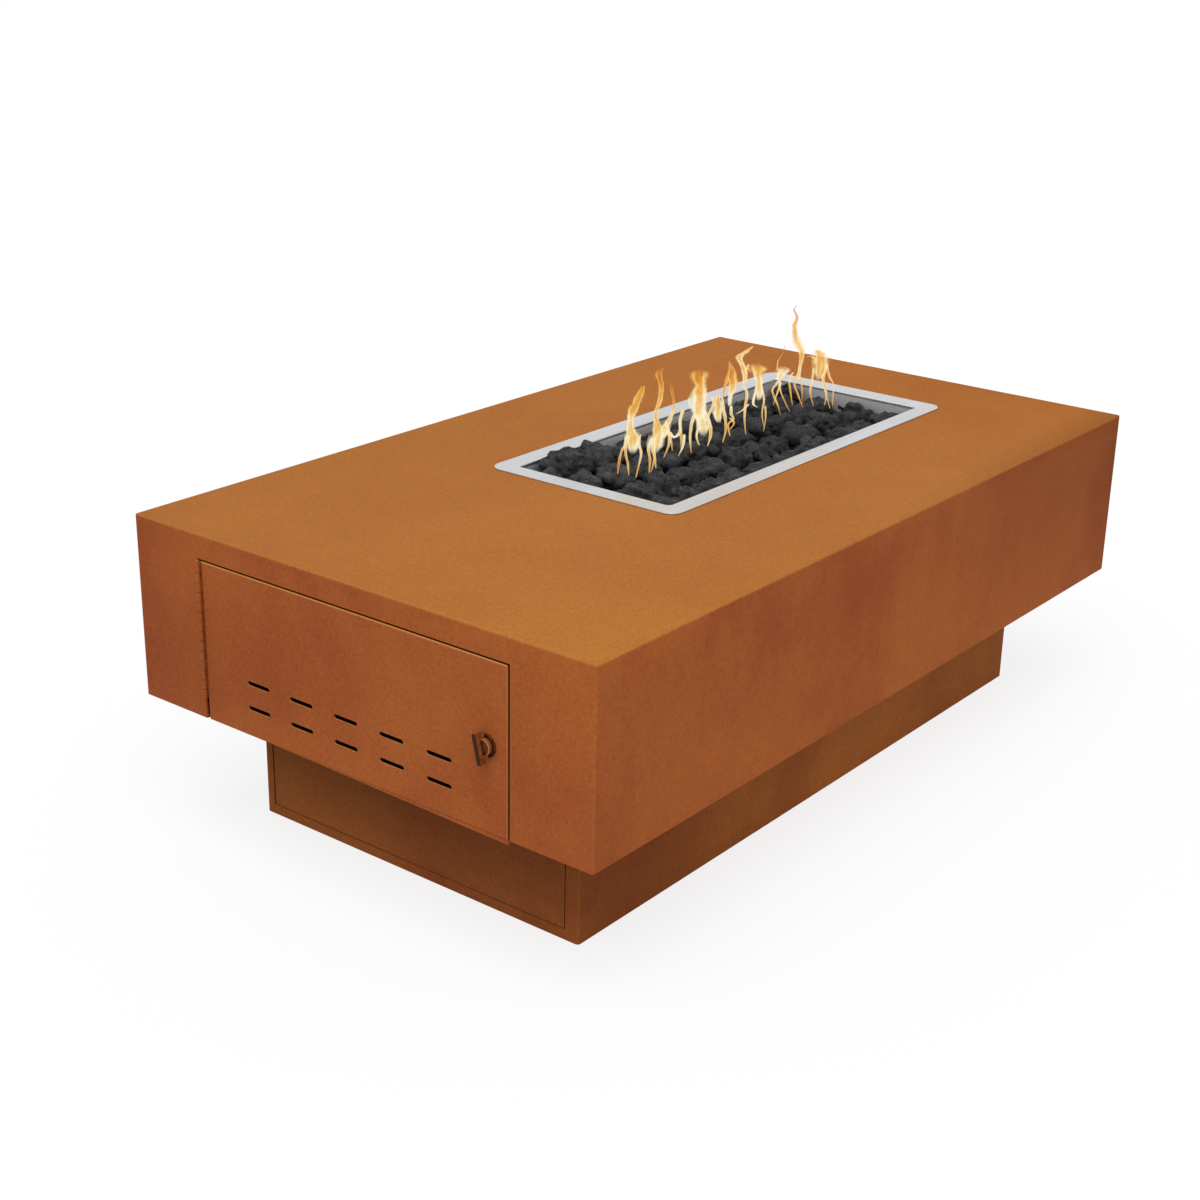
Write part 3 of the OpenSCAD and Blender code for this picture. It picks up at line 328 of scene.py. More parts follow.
@dataclass(frozen=True)
class WeatheredSteel:
    """Rusted steel plate: ochre where it lies level, red-brown clouds on its upright faces, and a fine grain.

    Its folds are made brighter by the wear colour, partly wear and partly painted highlight. Where a shade
    plane is given,
    the steel behind it is made dark: painted shade in the cut edges of the slots and on the inner side of a
    thin door.
    """

    name: str
    top: Colour
    face: Colour
    deep: Colour
    bright: Colour
    soft_tints: tuple[SoftTint, ...] = ()
    wear_and_highlight: Colour = (0.56, 0.24, 0.065)
    wear_and_highlight_share: float = 0.16
    # The plane behind which the steel is made dark, and that dark colour: painted shade.
    slot_shade_x: float | None = None
    slot_shade: Colour = (0.055, 0.018, 0.006)
    patch_scale: float = 3.4
    grain: float = 0.15

    def make(self) -> bpy.types.Material:
        """Builds the material.

        Returns:
            The material.
        """
        sheet = NodeSheet(self.name)
        plain = sheet.place()
        clouds = sheet.noise(plain, self.patch_scale, 5.0, 0.55, 0.35)
        blotches = sheet.noise(sheet.place((1.0, 1.0, 0.7)), 9.0, 6.0, 0.6, 0.5)
        runs = sheet.noise(sheet.place((30.0, 30.0, 2.2)), 1.0, 3.0, 0.5)
        specks = sheet.noise(plain, 190.0, 5.0, 0.7)
        grain = sheet.noise(plain, 520.0, 3.0, 0.65)

        facing = sheet.add("NewGeometry")
        split = sheet.add("SeparateXYZ")
        sheet.join(facing.outputs["Normal"], split.inputs["Vector"])
        level = sheet.spread(split.outputs["Z"], 0.0, 1.0, 0.2, 0.8)
        upright = sheet.reckon("SUBTRACT", 1.0, level)

        base = sheet.blend(level, self.face, self.top)
        strength = sheet.spread(level, 1.0, 0.30)
        low = sheet.reckon("MULTIPLY", sheet.spread(clouds, 1.0, 0.0, 0.34, 0.54), strength)
        high = sheet.reckon("MULTIPLY", sheet.spread(clouds, 0.0, 1.0, 0.50, 0.70), strength)
        colour = sheet.blend(low, base, sheet.blend(1.0, base, self.deep, "MULTIPLY"))
        colour = sheet.blend(high, colour, sheet.blend(1.0, base, self.bright, "MULTIPLY"))
        softer = sheet.spread(level, 1.0, 0.45)
        blot = sheet.reckon("MULTIPLY", sheet.spread(blotches, 0.6, 0.0, 0.34, 0.54), softer)
        colour = sheet.blend(blot, colour, sheet.blend(1.0, colour, (0.90, 0.84, 0.84), "MULTIPLY"))
        streak = sheet.reckon("MULTIPLY", sheet.spread(runs, 0.30, 0.0, 0.3, 0.56), upright)
        colour = sheet.blend(streak, colour, sheet.blend(1.0, colour, (0.88, 0.84, 0.86), "MULTIPLY"))
        fleck = sheet.spread(specks, 1.0 - self.grain, 1.0 + self.grain, 0.3, 0.7)
        fine = sheet.spread(grain, 1.0 - self.grain, 1.0 + self.grain, 0.3, 0.7)
        amount = sheet.reckon("MULTIPLY", fleck, fine)
        tone = sheet.add("CombineColor")
        for channel in ("Red", "Green", "Blue"):
            sheet.join(amount, tone.inputs[channel])
        colour = sheet.blend(1.0, colour, tone.outputs["Color"], "MULTIPLY")

        # Broad soft areas made darker or brighter; on the plinth they are painted shade and painted light.
        for tint_area in self.soft_tints:
            tinted = sheet.blend(1.0, colour, tint_area.tint, "MULTIPLY")
            colour = sheet.blend(sheet.near(tint_area.where, tint_area.reach), colour, tinted)
        # Wear and painted highlight on the folds: brighter where they face up, none where they face down.
        colour = sheet.blend(self.worn_and_lit(sheet, split), colour, self.wear_and_highlight)
        # Painted shade: the steel behind the given plane, in the cut edges of the slots and on the inner
        # side, is made dark.
        if self.slot_shade_x is not None:
            depth = sheet.add("SeparateXYZ")
            sheet.join(plain, depth.inputs["Vector"])
            behind = sheet.spread(depth.outputs["X"], 0.0, 1.0, self.slot_shade_x - 0.0003, self.slot_shade_x + 0.0003)
            colour = sheet.blend(behind, colour, self.slot_shade)

        shader = sheet.surface(0.0, 0.68, 0.06)
        sheet.join(colour, shader.inputs["Base Color"])
        sheet.join(sheet.spread(specks, 0.58, 0.82, 0.3, 0.7), shader.inputs["Roughness"])
        bump = sheet.relief(specks, 0.30, 0.0005)
        sheet.join(sheet.relief(grain, 0.25, 0.0002, bump), shader.inputs["Normal"])
        return sheet.material

    def worn_and_lit(self, sheet: NodeSheet, split: bpy.types.Node) -> bpy.types.NodeSocket:
        """Finds the folds, where the surface faces no main direction.

        Args:
            sheet: The material's nodes.
            split: The surface's normal, split into X, Y and Z.

        Returns:
            How far the fold is made brighter, partly wear and partly painted highlight, from 0 to the share.
        """
        most = sheet.reckon("ABSOLUTE", split.outputs["Z"])
        for axis in ("X", "Y"):
            most = sheet.reckon("MAXIMUM", most, sheet.reckon("ABSOLUTE", split.outputs[axis]))
        fold = sheet.spread(most, self.wear_and_highlight_share, 0.0, 0.80, 0.99)
        # The painted highlight part: more on folds that face up, none on folds that face down.
        not_below = sheet.spread(split.outputs["Z"], 0.0, 1.0, -0.35, -0.05)
        more_above = sheet.spread(split.outputs["Z"], 0.5, 1.0, 0.1, 0.5)
        return sheet.reckon("MULTIPLY", sheet.reckon("MULTIPLY", fold, not_below), more_above)


@dataclass(frozen=True)
class BrushedSteel:
    """Bare metal sheet with fine brush lines along one axis and soft smudges, satin below the rim."""

    name: str
    colour: Colour
    roughness: float
    along: Point = (6.0, 700.0, 700.0)
    contrast: float = 0.06
    satin_z: float = 0.402
    satin: float = 0.72

    def make(self) -> bpy.types.Material:
        """Builds the material.

        Returns:
            The material.
        """
        sheet = NodeSheet(self.name)
        lines = sheet.noise(sheet.place(self.along), 1.0, 2.0, 0.5)
        smudge = sheet.noise(sheet.place(), 14.0, 4.0, 0.6, 0.4)
        shader = sheet.surface(1.0, self.roughness, 0.5)
        dark = tuple(c * (1.0 - self.contrast * 2) for c in self.colour)
        light = tuple(min(1.0, c * (1.0 + self.contrast)) for c in self.colour)
        colour = sheet.ramp(lines, ((0.3, dark), (0.7, light)))
        sheet.join(colour, shader.inputs["Base Color"])
        low, high = self.roughness * 0.8, self.roughness * 1.35
        place = sheet.add("SeparateXYZ")
        sheet.join(sheet.place(), place.inputs["Vector"])
        sunk = sheet.spread(place.outputs["Z"], self.satin, 0.0, self.satin_z, self.satin_z + 0.004)
        rough = sheet.reckon("MAXIMUM", sheet.spread(smudge, low, high, 0.3, 0.7), sunk)
        sheet.join(rough, shader.inputs["Roughness"])
        sheet.join(sheet.relief(lines, 0.25, 0.00008), shader.inputs["Normal"])
        return sheet.material


@dataclass(frozen=True)
class LavaStone:
    """Charcoal lava rock: pores, rough grain and dusty high spots, with painted shade in the pores, in the
    hollows and low between the rocks.
    """

    name: str = "charcoal_lava"
    dark: Colour = (0.005, 0.005, 0.006)
    light: Colour = (0.044, 0.045, 0.050)
    dust: Colour = (0.110, 0.108, 0.107)
    shade_deep_z: float = 0.376
    shade_top_z: float = 0.404

    def make(self) -> bpy.types.Material:
        """Builds the material.

        Returns:
            The material.
        """
        sheet = NodeSheet(self.name)
        plain = sheet.place()
        lumps = sheet.noise(plain, 75.0, 6.0, 0.68, 0.4)
        grain = sheet.noise(plain, 420.0, 5.0, 0.75)
        pores = sheet.add("TexVoronoi", Scale=380.0)
        sheet.join(plain, pores.inputs["Vector"])
        pit_and_shade = sheet.spread(pores.outputs["Distance"], 0.35, 1.0, 0.10, 0.42)
        # Darker in the hollows of the lumps, which the bump sinks, a painted shade; dusty where they stand
        # high.
        colour = sheet.ramp(lumps, ((0.34, self.dark), (0.52, self.light), (0.72, self.dust)))
        colour = sheet.blend(sheet.spread(grain, 0.0, 0.6, 0.42, 0.70), colour, self.dust)
        # Painted shade in the pores.
        colour = sheet.blend(sheet.reckon("SUBTRACT", 1.0, pit_and_shade), colour, self.dark)
        # Painted shade: the rock is made darker the lower it lies between the rocks.
        height = sheet.add("SeparateXYZ")
        sheet.join(plain, height.inputs["Vector"])
        sunk = sheet.spread(height.outputs["Z"], 0.88, 0.0, self.shade_deep_z, self.shade_top_z)
        colour = sheet.blend(sunk, colour, self.dark)
        shader = sheet.surface(0.0, 0.86, 0.14)
        sheet.join(colour, shader.inputs["Base Color"])
        sheet.join(sheet.spread(grain, 0.7, 0.95, 0.3, 0.7), shader.inputs["Roughness"])
        bump = sheet.relief(pit_and_shade, 0.8, 0.0011)
        bump = sheet.relief(lumps, 0.7, 0.004, bump)
        sheet.join(sheet.relief(grain, 0.6, 0.0008, bump), shader.inputs["Normal"])
        return sheet.material


@dataclass(frozen=True)
class CastMetal:
    """Plated or cast hardware metal, a little tarnished in soft patches."""

    name: str
    bright: Colour
    tarnish: Colour
    roughness: float
    patch_scale: float = 60.0

    def make(self) -> bpy.types.Material:
        """Builds the material.

        Returns:
            The material.
        """
        sheet = NodeSheet(self.name)
        plain = sheet.place()
        patches = sheet.noise(plain, self.patch_scale, 5.0, 0.6, 0.3)
        grain = sheet.noise(plain, 900.0, 2.0, 0.5)
        shader = sheet.surface(1.0, self.roughness, 0.5)
        colour = sheet.ramp(patches, ((0.35, self.bright), (0.7, self.tarnish)))
        sheet.join(colour, shader.inputs["Base Color"])
        low, high = self.roughness * 0.8, min(1.0, self.roughness * 1.5)
        sheet.join(sheet.spread(patches, low, high, 0.35, 0.7), shader.inputs["Roughness"])
        sheet.join(sheet.relief(grain, 0.2, 0.00006), shader.inputs["Normal"])
        return sheet.material


@dataclass(frozen=True)
class AgedBronze:
    """Oil-rubbed bronze of the latch's knob.

    It is brown. On the wing's outer edge and on the dome it is nearly black, a painted dark reflection, and
    round the dome a brighter ring is a painted highlight. Front_x is the X of the wing's outer edge, axis is
    the latch's axis as (y, z), and the two depths say how far behind that edge the painted dark edge ends and
    the dome's foot lies.
    """

    front_x: float
    axis: tuple[float, float]
    edge_depth: float = 0.0006
    dome_depth: float = 0.0073
    name: str = "aged_bronze"
    brown: Colour = (0.46, 0.155, 0.048)
    tarnish: Colour = (0.27, 0.088, 0.028)
    # The black and the dome colours are painted dark reflections, and the rim colour is a painted highlight.
    black: Colour = (0.011, 0.005, 0.003)
    dome: Colour = (0.085, 0.028, 0.010)
    rim: Colour = (0.42, 0.165, 0.048)
    metallic: float = 0.5
    hub_reach: float = 0.0125

    def make(self) -> bpy.types.Material:
        """Builds the material.

        Returns:
            The material.
        """
        sheet = NodeSheet(self.name)
        plain = sheet.place()
        patches = sheet.noise(plain, 110.0, 4.0, 0.6, 0.4)
        colour = sheet.ramp(patches, ((0.38, self.brown), (0.66, self.tarnish)))
        place = sheet.add("SeparateXYZ")
        sheet.join(plain, place.inputs["Vector"])
        tip_x, dome_x = self.front_x + self.edge_depth, self.front_x + self.dome_depth
        # Painted dark reflection on the wing's outer edge.
        tip = sheet.spread(place.outputs["X"], 0.92, 0.0, tip_x, tip_x + 0.0007)
        colour = sheet.blend(tip, colour, self.black)
        hub = sheet.near((dome_x, *self.axis), (1.0, self.hub_reach, self.hub_reach))
        low = sheet.spread(place.outputs["X"], 0.0, 1.0, dome_x - 0.0012, dome_x - 0.0006)
        # Painted dark reflection on the dome, and painted highlight on the ring round it.
        dome_reflection = sheet.reckon("MULTIPLY", low, sheet.spread(hub, 0.0, 1.0, 0.25, 0.33))
        rim_highlight = sheet.reckon("MULTIPLY", low, sheet.spread(hub, 0.0, 1.0, 0.10, 0.20))
        colour = sheet.blend(rim_highlight, colour, self.rim)
        colour = sheet.blend(dome_reflection, colour, self.dome)
        shader = sheet.surface(self.metallic, 0.24, 0.16)
        sheet.join(colour, shader.inputs["Base Color"])
        sheet.join(sheet.spread(patches, 0.18, 0.36, 0.35, 0.7), shader.inputs["Roughness"])
        return sheet.material


@dataclass(frozen=True)
class MouldedPlastic:
    """Soft-touch plastic or dipped vinyl with a faint orange-peel skin."""

    name: str
    colour: Colour
    roughness: float

    def make(self) -> bpy.types.Material:
        """Builds the material.

        Returns:
            The material.
        """
        sheet = NodeSheet(self.name)
        plain = sheet.place()
        peel = sheet.noise(plain, 340.0, 3.0, 0.5)
        scuff = sheet.noise(plain, 40.0, 5.0, 0.65)
        dark = tuple(c * 0.8 for c in self.colour)
        shader = sheet.surface(0.0, self.roughness, 0.5)
        sheet.join(sheet.ramp(scuff, ((0.35, self.colour), (0.75, dark))), shader.inputs["Base Color"])
        low, high = self.roughness * 0.85, min(1.0, self.roughness * 1.3)
        sheet.join(sheet.spread(scuff, low, high, 0.3, 0.7), shader.inputs["Roughness"])
        sheet.join(sheet.relief(peel, 0.3, 0.00012), shader.inputs["Normal"])
        return sheet.material


@dataclass(frozen=True)
class FlameGlow:
    """Glow of a gas flame: near white where it is hot, orange where it cools, with bright and soft edges."""

    name: str = "gas_flame"
    wisp: Colour = (0.52, 0.155, 0.028)
    amber: Colour = (0.82, 0.35, 0.052)
    yellow: Colour = (0.97, 0.60, 0.165)
    white: Colour = (1.0, 0.90, 0.62)

    def make(self) -> bpy.types.Material:
        """Builds the material.

        Returns:
            The material.
        """
        sheet = NodeSheet(self.name)
        heat = sheet.add("Attribute", attribute_name="flame_heat").outputs["Fac"]
        side = sheet.add("Attribute", attribute_name="flame_side").outputs["Fac"]
        ripple = sheet.noise(sheet.place((130.0, 130.0, 42.0)), 1.0, 3.0, 0.55, 0.6)
        mottle = sheet.noise(sheet.place((60.0, 60.0, 30.0)), 1.0, 2.0, 0.5)
        wave = sheet.spread(ripple, -0.30, 0.30, 0.25, 0.75)
        edge = sheet.reckon("ADD", sheet.reckon("ABSOLUTE", side), wave)
        soft = sheet.spread(edge, 1.0, 0.0, 0.50, 0.98)
        line = sheet.reckon("MULTIPLY", sheet.spread(edge, 0.0, 1.0, 0.22, 0.62), soft)
        warm = sheet.reckon("ADD", heat, sheet.reckon("MULTIPLY", line, 0.55))
        warm = sheet.reckon("ADD", warm, sheet.spread(mottle, -0.28, 0.22, 0.3, 0.7))
        stops = ((0.0, self.wisp), (0.3, self.amber), (0.66, self.yellow), (1.0, self.white))
        colour = sheet.ramp(warm, stops, smooth=False)
        cover = sheet.reckon("ADD", sheet.reckon("MULTIPLY", warm, 0.24), 0.74)
        cover = sheet.reckon("MULTIPLY", sheet.spread(cover, 0.0, 0.96, 0.0, 1.0), soft)
        ends = sheet.add("Attribute", attribute_name="flame_cover").outputs["Fac"]
        cover = sheet.reckon("MULTIPLY", cover, ends)
        glow = sheet.add("Emission", Strength=1.0)
        sheet.join(colour, glow.inputs["Color"])
        clear = sheet.add("BsdfTransparent")
        mixed = sheet.add("MixShader")
        sheet.join(cover, mixed.inputs["Fac"])
        sheet.join(clear.outputs["BSDF"], mixed.inputs[1])
        sheet.join(glow.outputs["Emission"], mixed.inputs[2])
        sheet.join(mixed.outputs["Shader"], sheet.output.inputs["Surface"])
        return sheet.material


@dataclass(frozen=True)
class StudioPaper:
    """White studio floor: white to the camera, and it still keeps the object's shadow."""

    name: str = "studio_paper"
    colour: Colour = (0.70, 0.70, 0.70)
    lift: float = 0.72
    glow: float = 1.13

    def make(self) -> bpy.types.Material:
        """Builds the material.

        Returns:
            The material.
        """
        sheet = NodeSheet(self.name)
        paper = sheet.add("BsdfDiffuse", Color=(*self.colour, 1.0))
        glow = sheet.add("Emission", Color=(1.0, 1.0, 1.0, 1.0), Strength=self.glow)
        path = sheet.add("LightPath")
        seen = sheet.reckon("MAXIMUM", path.outputs["Is Camera Ray"], path.outputs["Is Glossy Ray"])
        seen = sheet.reckon("MAXIMUM", seen, path.outputs["Is Transmission Ray"])
        mixed = sheet.add("MixShader")
        sheet.join(sheet.reckon("MULTIPLY", seen, self.lift), mixed.inputs["Fac"])
        sheet.join(paper.outputs["BSDF"], mixed.inputs[1])
        sheet.join(glow.outputs["Emission"], mixed.inputs[2])
        sheet.join(mixed.outputs["Shader"], sheet.output.inputs["Surface"])
        return sheet.material


class Finishes:
    """All finishes of the fire table, each made once.

    The soft tints lie where the table is seen darker or brighter: broad tints on the box, painted shade and
    painted light on the plinth. The shade depths say how far behind the front of the door and of the plinth's
    panel the painted shade of their slots and inner side begins.
    """

    # Broad soft areas of the box made darker or brighter.
    BOX_TINTS: tuple[SoftTint, ...] = (
        SoftTint((-0.62, 0.34, 0.26), (0.06, 0.34, 0.30), (0.90, 0.89, 0.95)),
        SoftTint((-0.619, -0.37, 0.28), (0.012, 0.30, 0.22), (1.30, 1.38, 1.24)),
        SoftTint((-0.10, -0.36, 0.20), (0.50, 0.05, 0.12), (1.05, 1.10, 1.02)),
        SoftTint((0.64, -0.36, 0.40), (0.70, 0.06, 0.26), (0.70, 0.70, 0.66)),
        SoftTint((-0.62, -0.36, 0.41), (0.42, 0.30, 0.05), (1.08, 1.10, 0.98)),
        SoftTint((0.10, 0.40, 0.41), (1.10, 0.40, 0.05), (0.92, 0.89, 0.86)),
        SoftTint((0.70, -0.18, 0.4064), (0.45, 0.60, 0.03), (0.90, 0.77, 0.50)),
    )
    # Painted shade on the plinth's end under the overhang of the box, and painted light at the foot of the
    # end and along the foot of the long side.
    PLINTH_SHADE_AND_LIGHT: tuple[SoftTint, ...] = (
        SoftTint((-0.52, 0.20, 0.165), (0.10, 0.64, 0.12), (0.35, 0.335, 0.31)),
        SoftTint((-0.52, 0.00, 0.00), (0.06, 0.60, 0.05), (1.40, 1.45, 1.45)),
        SoftTint((0.10, -0.26, 0.00), (0.85, 0.10, 0.17), (1.80, 1.95, 1.70)),
    )
    # How far behind the front of the door and of the plinth's panel the painted shade of the slots and the
    # inner side begins.
    DOOR_SHADE_DEPTH: float = 0.0014
    PANEL_SHADE_DEPTH: float = 0.0007

    def __init__(self) -> None:
        """Makes every material."""
        deep, bright = (0.83, 0.72, 0.80), (1.08, 1.12, 1.02)
        box, plinth = self.BOX_TINTS, self.PLINTH_SHADE_AND_LIGHT
        top, face = (0.435, 0.157, 0.032), (0.405, 0.110, 0.029)
        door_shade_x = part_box("door_panel")[0].x + self.DOOR_SHADE_DEPTH
        self.steel = WeatheredSteel("weathered_steel", top, face, deep, bright, box).make()
        # Painted highlight: the door's upward faces, its top fold and the lower lips of its slots, take a
        # bright ochre, and the door's and the panel's folds take a strong fold highlight.
        worn_and_lit = (0.62, 0.27, 0.075)
        self.door_steel = WeatheredSteel(
            "weathered_door_steel", worn_and_lit, face, deep, bright, box, wear_and_highlight_share=0.95, slot_shade_x=door_shade_x
        ).make()
        # A darker copy of the steel, painted shade: for the plinth, its panel, and the plates, members and
        # stops inside the box.
        top, face = (0.31, 0.110, 0.028), (0.285, 0.086, 0.022)
        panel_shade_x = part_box("base_end_panel")[0].x + self.PANEL_SHADE_DEPTH
        self.shaded_steel = WeatheredSteel("weathered_steel_shaded", top, face, deep, bright, plinth).make()
        self.panel_steel = WeatheredSteel(
            "weathered_panel_steel", top, face, deep, bright, plinth, wear_and_highlight_share=0.7, slot_shade_x=panel_shade_x
        ).make()
        self.stainless = BrushedSteel("brushed_stainless", (0.60, 0.605, 0.615), 0.34).make()
        self.zinc = CastMetal("zinc_plate", (0.66, 0.67, 0.69), (0.42, 0.43, 0.45), 0.38).make()
        dark, darker = (0.19, 0.068, 0.021), (0.060, 0.021, 0.008)
        self.bronze = CastMetal("dark_bronze", dark, darker, 0.25, 90.0).make()
        low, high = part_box("latch_body")
        axis = ((low.y + high.y) / 2, (low.z + high.z) / 2)
        self.wing = AgedBronze(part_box("latch_knob")[0].x, axis).make()
        self.brass = CastMetal("gas_brass", (0.72, 0.47, 0.16), (0.46, 0.27, 0.08), 0.30).make()
        self.rock = LavaStone().make()
        self.hose = MouldedPlastic("yellow_hose_coat", (0.78, 0.47, 0.03), 0.42).make()
        self.grip = MouldedPlastic("red_vinyl", (0.52, 0.025, 0.02), 0.45).make()


# Modelling


class Bench:
    """Modelling steps that every piece uses."""

    @staticmethod
    def clear() -> None:
        """Deselects everything."""
        bpy.ops.object.select_all(action="DESELECT")

    @staticmethod
    def take(piece: bpy.types.Object) -> bpy.types.Object:
        """Selects a piece alone and makes it active.

        Args:
            piece: The piece.

        Returns:
            The piece.
        """
        Bench.clear()
        piece.select_set(True)
        bpy.context.view_layer.objects.active = piece
        return piece

    @staticmethod
    def named(name: str) -> bpy.types.Object:
        """Names the object that an operator has just made.

        Args:
            name: The name of the object and of its mesh.

        Returns:
            The object.
        """
        piece = bpy.context.view_layer.objects.active
        piece.name = name
        piece.data.name = name
        return piece

    @staticmethod
    def modify(piece: bpy.types.Object, kind: str, **settings: object) -> None:
        """Adds a modifier and applies it.

        Args:
            piece: The piece.
            kind: The modifier's type.
            settings: Its settings.
        """
        Bench.take(piece)
        modifier = piece.modifiers.new(kind.lower(), kind)
        for key, value in settings.items():
            setattr(modifier, key, value)
        bpy.ops.object.modifier_apply(modifier=modifier.name)

    @staticmethod
    def settle(piece: bpy.types.Object) -> bpy.types.Object:
        """Moves a piece's place into its mesh, so that its object sits plain at the origin.

        Args:
            piece: The piece.

        Returns:
            The piece.
        """
        Bench.take(piece)
        bpy.ops.object.transform_apply(location=True, rotation=True, scale=True)
        return piece

    @staticmethod
    def smooth(piece: bpy.types.Object, degrees: float = 32.0) -> None:
        """Shades a piece smooth, but for edges sharper than that angle."""
        Bench.take(piece)
        bpy.ops.object.shade_smooth_by_angle(angle=math.radians(degrees))

    @staticmethod
    def join(pieces: list[bpy.types.Object], name: str) -> bpy.types.Object:
        """Joins pieces into one.

        Args:
            pieces: The pieces, at least one.
            name: The name of the result.

        Returns:
            The joined piece.
        """
        Bench.clear()
        for piece in pieces:
            piece.select_set(True)
        bpy.context.view_layer.objects.active = pieces[0]
        if len(pieces) > 1:
            bpy.ops.object.join()
        return Bench.named(name)

    @staticmethod
    def outward(piece: bpy.types.Object) -> None:
        """Merges doubles and turns every face outward.

        Args:
            piece: The piece.
        """
        Bench.take(piece)
        bpy.ops.object.mode_set(mode="EDIT")
        bpy.ops.mesh.select_all(action="SELECT")
        bpy.ops.mesh.remove_doubles(threshold=1e-6)
        bpy.ops.mesh.normals_make_consistent(inside=False)
        bpy.ops.object.mode_set(mode="OBJECT")

    @staticmethod
    def copy_of(node: str, name: str) -> bpy.types.Object:
        """Copies a CAD node's mesh and turns its loose triangles into whole faces.

        Args:
            node: The CAD node.
            name: The new piece's name.

        Returns:
            The copy.
        """
        piece = bpy.data.objects.new(name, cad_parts[node].data.copy())
        piece.data.name = name
        piece.data.materials.clear()
        bpy.context.scene.collection.objects.link(piece)
        Bench.take(piece)
        bpy.ops.object.mode_set(mode="EDIT")
        bpy.ops.mesh.select_all(action="SELECT")
        bpy.ops.mesh.remove_doubles(threshold=2e-6)
        bpy.ops.mesh.dissolve_limited(angle_limit=math.radians(0.4))
        bpy.ops.object.mode_set(mode="OBJECT")
        if piece.data.has_custom_normals:
            bpy.ops.mesh.customdata_custom_splitnormals_clear()
        return piece

    @staticmethod
    def eased(
        node: str, name: str, width: float, segments: int = 2, corner: float = 35.0
    ) -> bpy.types.Object:
        """Copies a CAD node and breaks its sharp edges, as a deburred or cast piece has them.

        Args:
            node: The CAD node.
            name: The new piece's name.
            width: Width of the broken edge.
            segments: Facets across it.
            corner: Edges sharper than this many degrees are broken.

        Returns:
            The new piece.
        """
        piece = Bench.copy_of(node, name)
        Bench.modify(
            piece,
            "BEVEL",
            width=width,
            segments=segments,
            limit_method="ANGLE",
            angle_limit=math.radians(corner),
            use_clamp_overlap=True,
        )
        Bench.smooth(piece)
        Bench.modify(piece, "WEIGHTED_NORMAL", weight=100, keep_sharp=True)
        return piece

    @staticmethod
    def dress(
        piece: bpy.types.Object,
        material: bpy.types.Material,
        body: Body,
        slot: Slot,
        replaces: tuple[str, ...] = (),
    ) -> bpy.types.Object:
        """Gives a finished piece its material, its body and the CAD nodes that it stands for.

        Args:
            piece: The piece, in place.
            material: Its material.
            body: The body that it rides on.
            slot: The record's material slot; not used.
            replaces: CAD nodes that it stands for.

        Returns:
            The piece.
        """
        piece.data.materials.clear()
        piece.data.materials.append(material)
        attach(piece, body.value)
        if replaces:
            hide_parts(*replaces)
        LOG.info("%s: %d faces, rides on %s", piece.name, len(piece.data.polygons), body.value)
        return piece

    @staticmethod
    def finish_nodes(material: bpy.types.Material, *nodes: str) -> None:
        """Gives CAD nodes that stay in view a better material.

        Args:
            material: The material.
            nodes: The CAD nodes.
        """
        for node in nodes:
            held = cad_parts[node].data.materials
            held.clear()
            held.append(material)
            LOG.info("%s keeps its CAD shape", node)


# Sub-assemblies


@dataclass
class SteelBox:
    """The upper box with its underside plate and the two members across it."""

    finishes: Finishes
    edge: float = 0.0006

    def build(self) -> None:
        """Builds the box and dresses its inner plates."""
        shell = Bench.eased("body_shell", "table_box", self.edge)
        Bench.dress(shell, self.finishes.steel, Body.TABLE, Slot.STEEL, ("body_shell",))
        inner = ("underside_plate", "cross_member_service", "cross_member_far")
        Bench.finish_nodes(self.finishes.shaded_steel, *inner)


@dataclass
class Plinth:
    """The recessed plinth with its floor plate, end panel and fasteners."""

    finishes: Finishes
    edge: float = 0.0006
    bolt_edge: float = 0.0004

    def build(self) -> None:
        """Builds the plinth's sheet pieces and dresses the rest."""
        for node, name, steel in (
            ("base_shell", "plinth_shell", self.finishes.shaded_steel),
            ("base_end_panel", "plinth_end_panel", self.finishes.panel_steel),
        ):
            piece = Bench.eased(node, name, self.edge)
            Bench.dress(piece, steel, Body.TABLE, Slot.DARK_STEEL, (node,))
        Bench.finish_nodes(self.finishes.shaded_steel, "base_floor_plate")
        for node, name in (("plinth_bolts", "plinth_hex_bolts"), ("plinth_nuts", "plinth_hex_nuts")):
            piece = Bench.eased(node, name, self.bolt_edge)
            Bench.dress(piece, self.finishes.zinc, Body.TABLE, Slot.ZINC, (node,))
        Bench.finish_nodes(self.finishes.zinc, "end_panel_screws")


@dataclass
class ServiceDoor:
    """The vented door, its pull lip, its continuous hinge and the stops behind it."""

    finishes: Finishes
    edge: float = 0.0005
    leaf_edge: float = 0.0003

    def build(self) -> None:
        """Builds the door's pieces and the hinge."""
        steel = self.finishes.steel
        for node, name, body, edge, finish in (
            ("door_panel", "service_door", Body.DOOR, self.edge, self.finishes.door_steel),
            ("hinge_leaf_door", "hinge_door_leaf", Body.DOOR, self.leaf_edge, steel),
            ("hinge_leaf_body", "hinge_fixed_leaf", Body.TABLE, self.leaf_edge, steel),
            ("door_pull_lip", "pull_lip", Body.DOOR, self.edge, steel),
        ):
            piece = Bench.eased(node, name, edge)
            Bench.dress(piece, finish, body, Slot.STEEL, (node,))
        Bench.finish_nodes(self.finishes.steel, "hinge_pin")
        Bench.finish_nodes(self.finishes.shaded_steel, "door_stops")


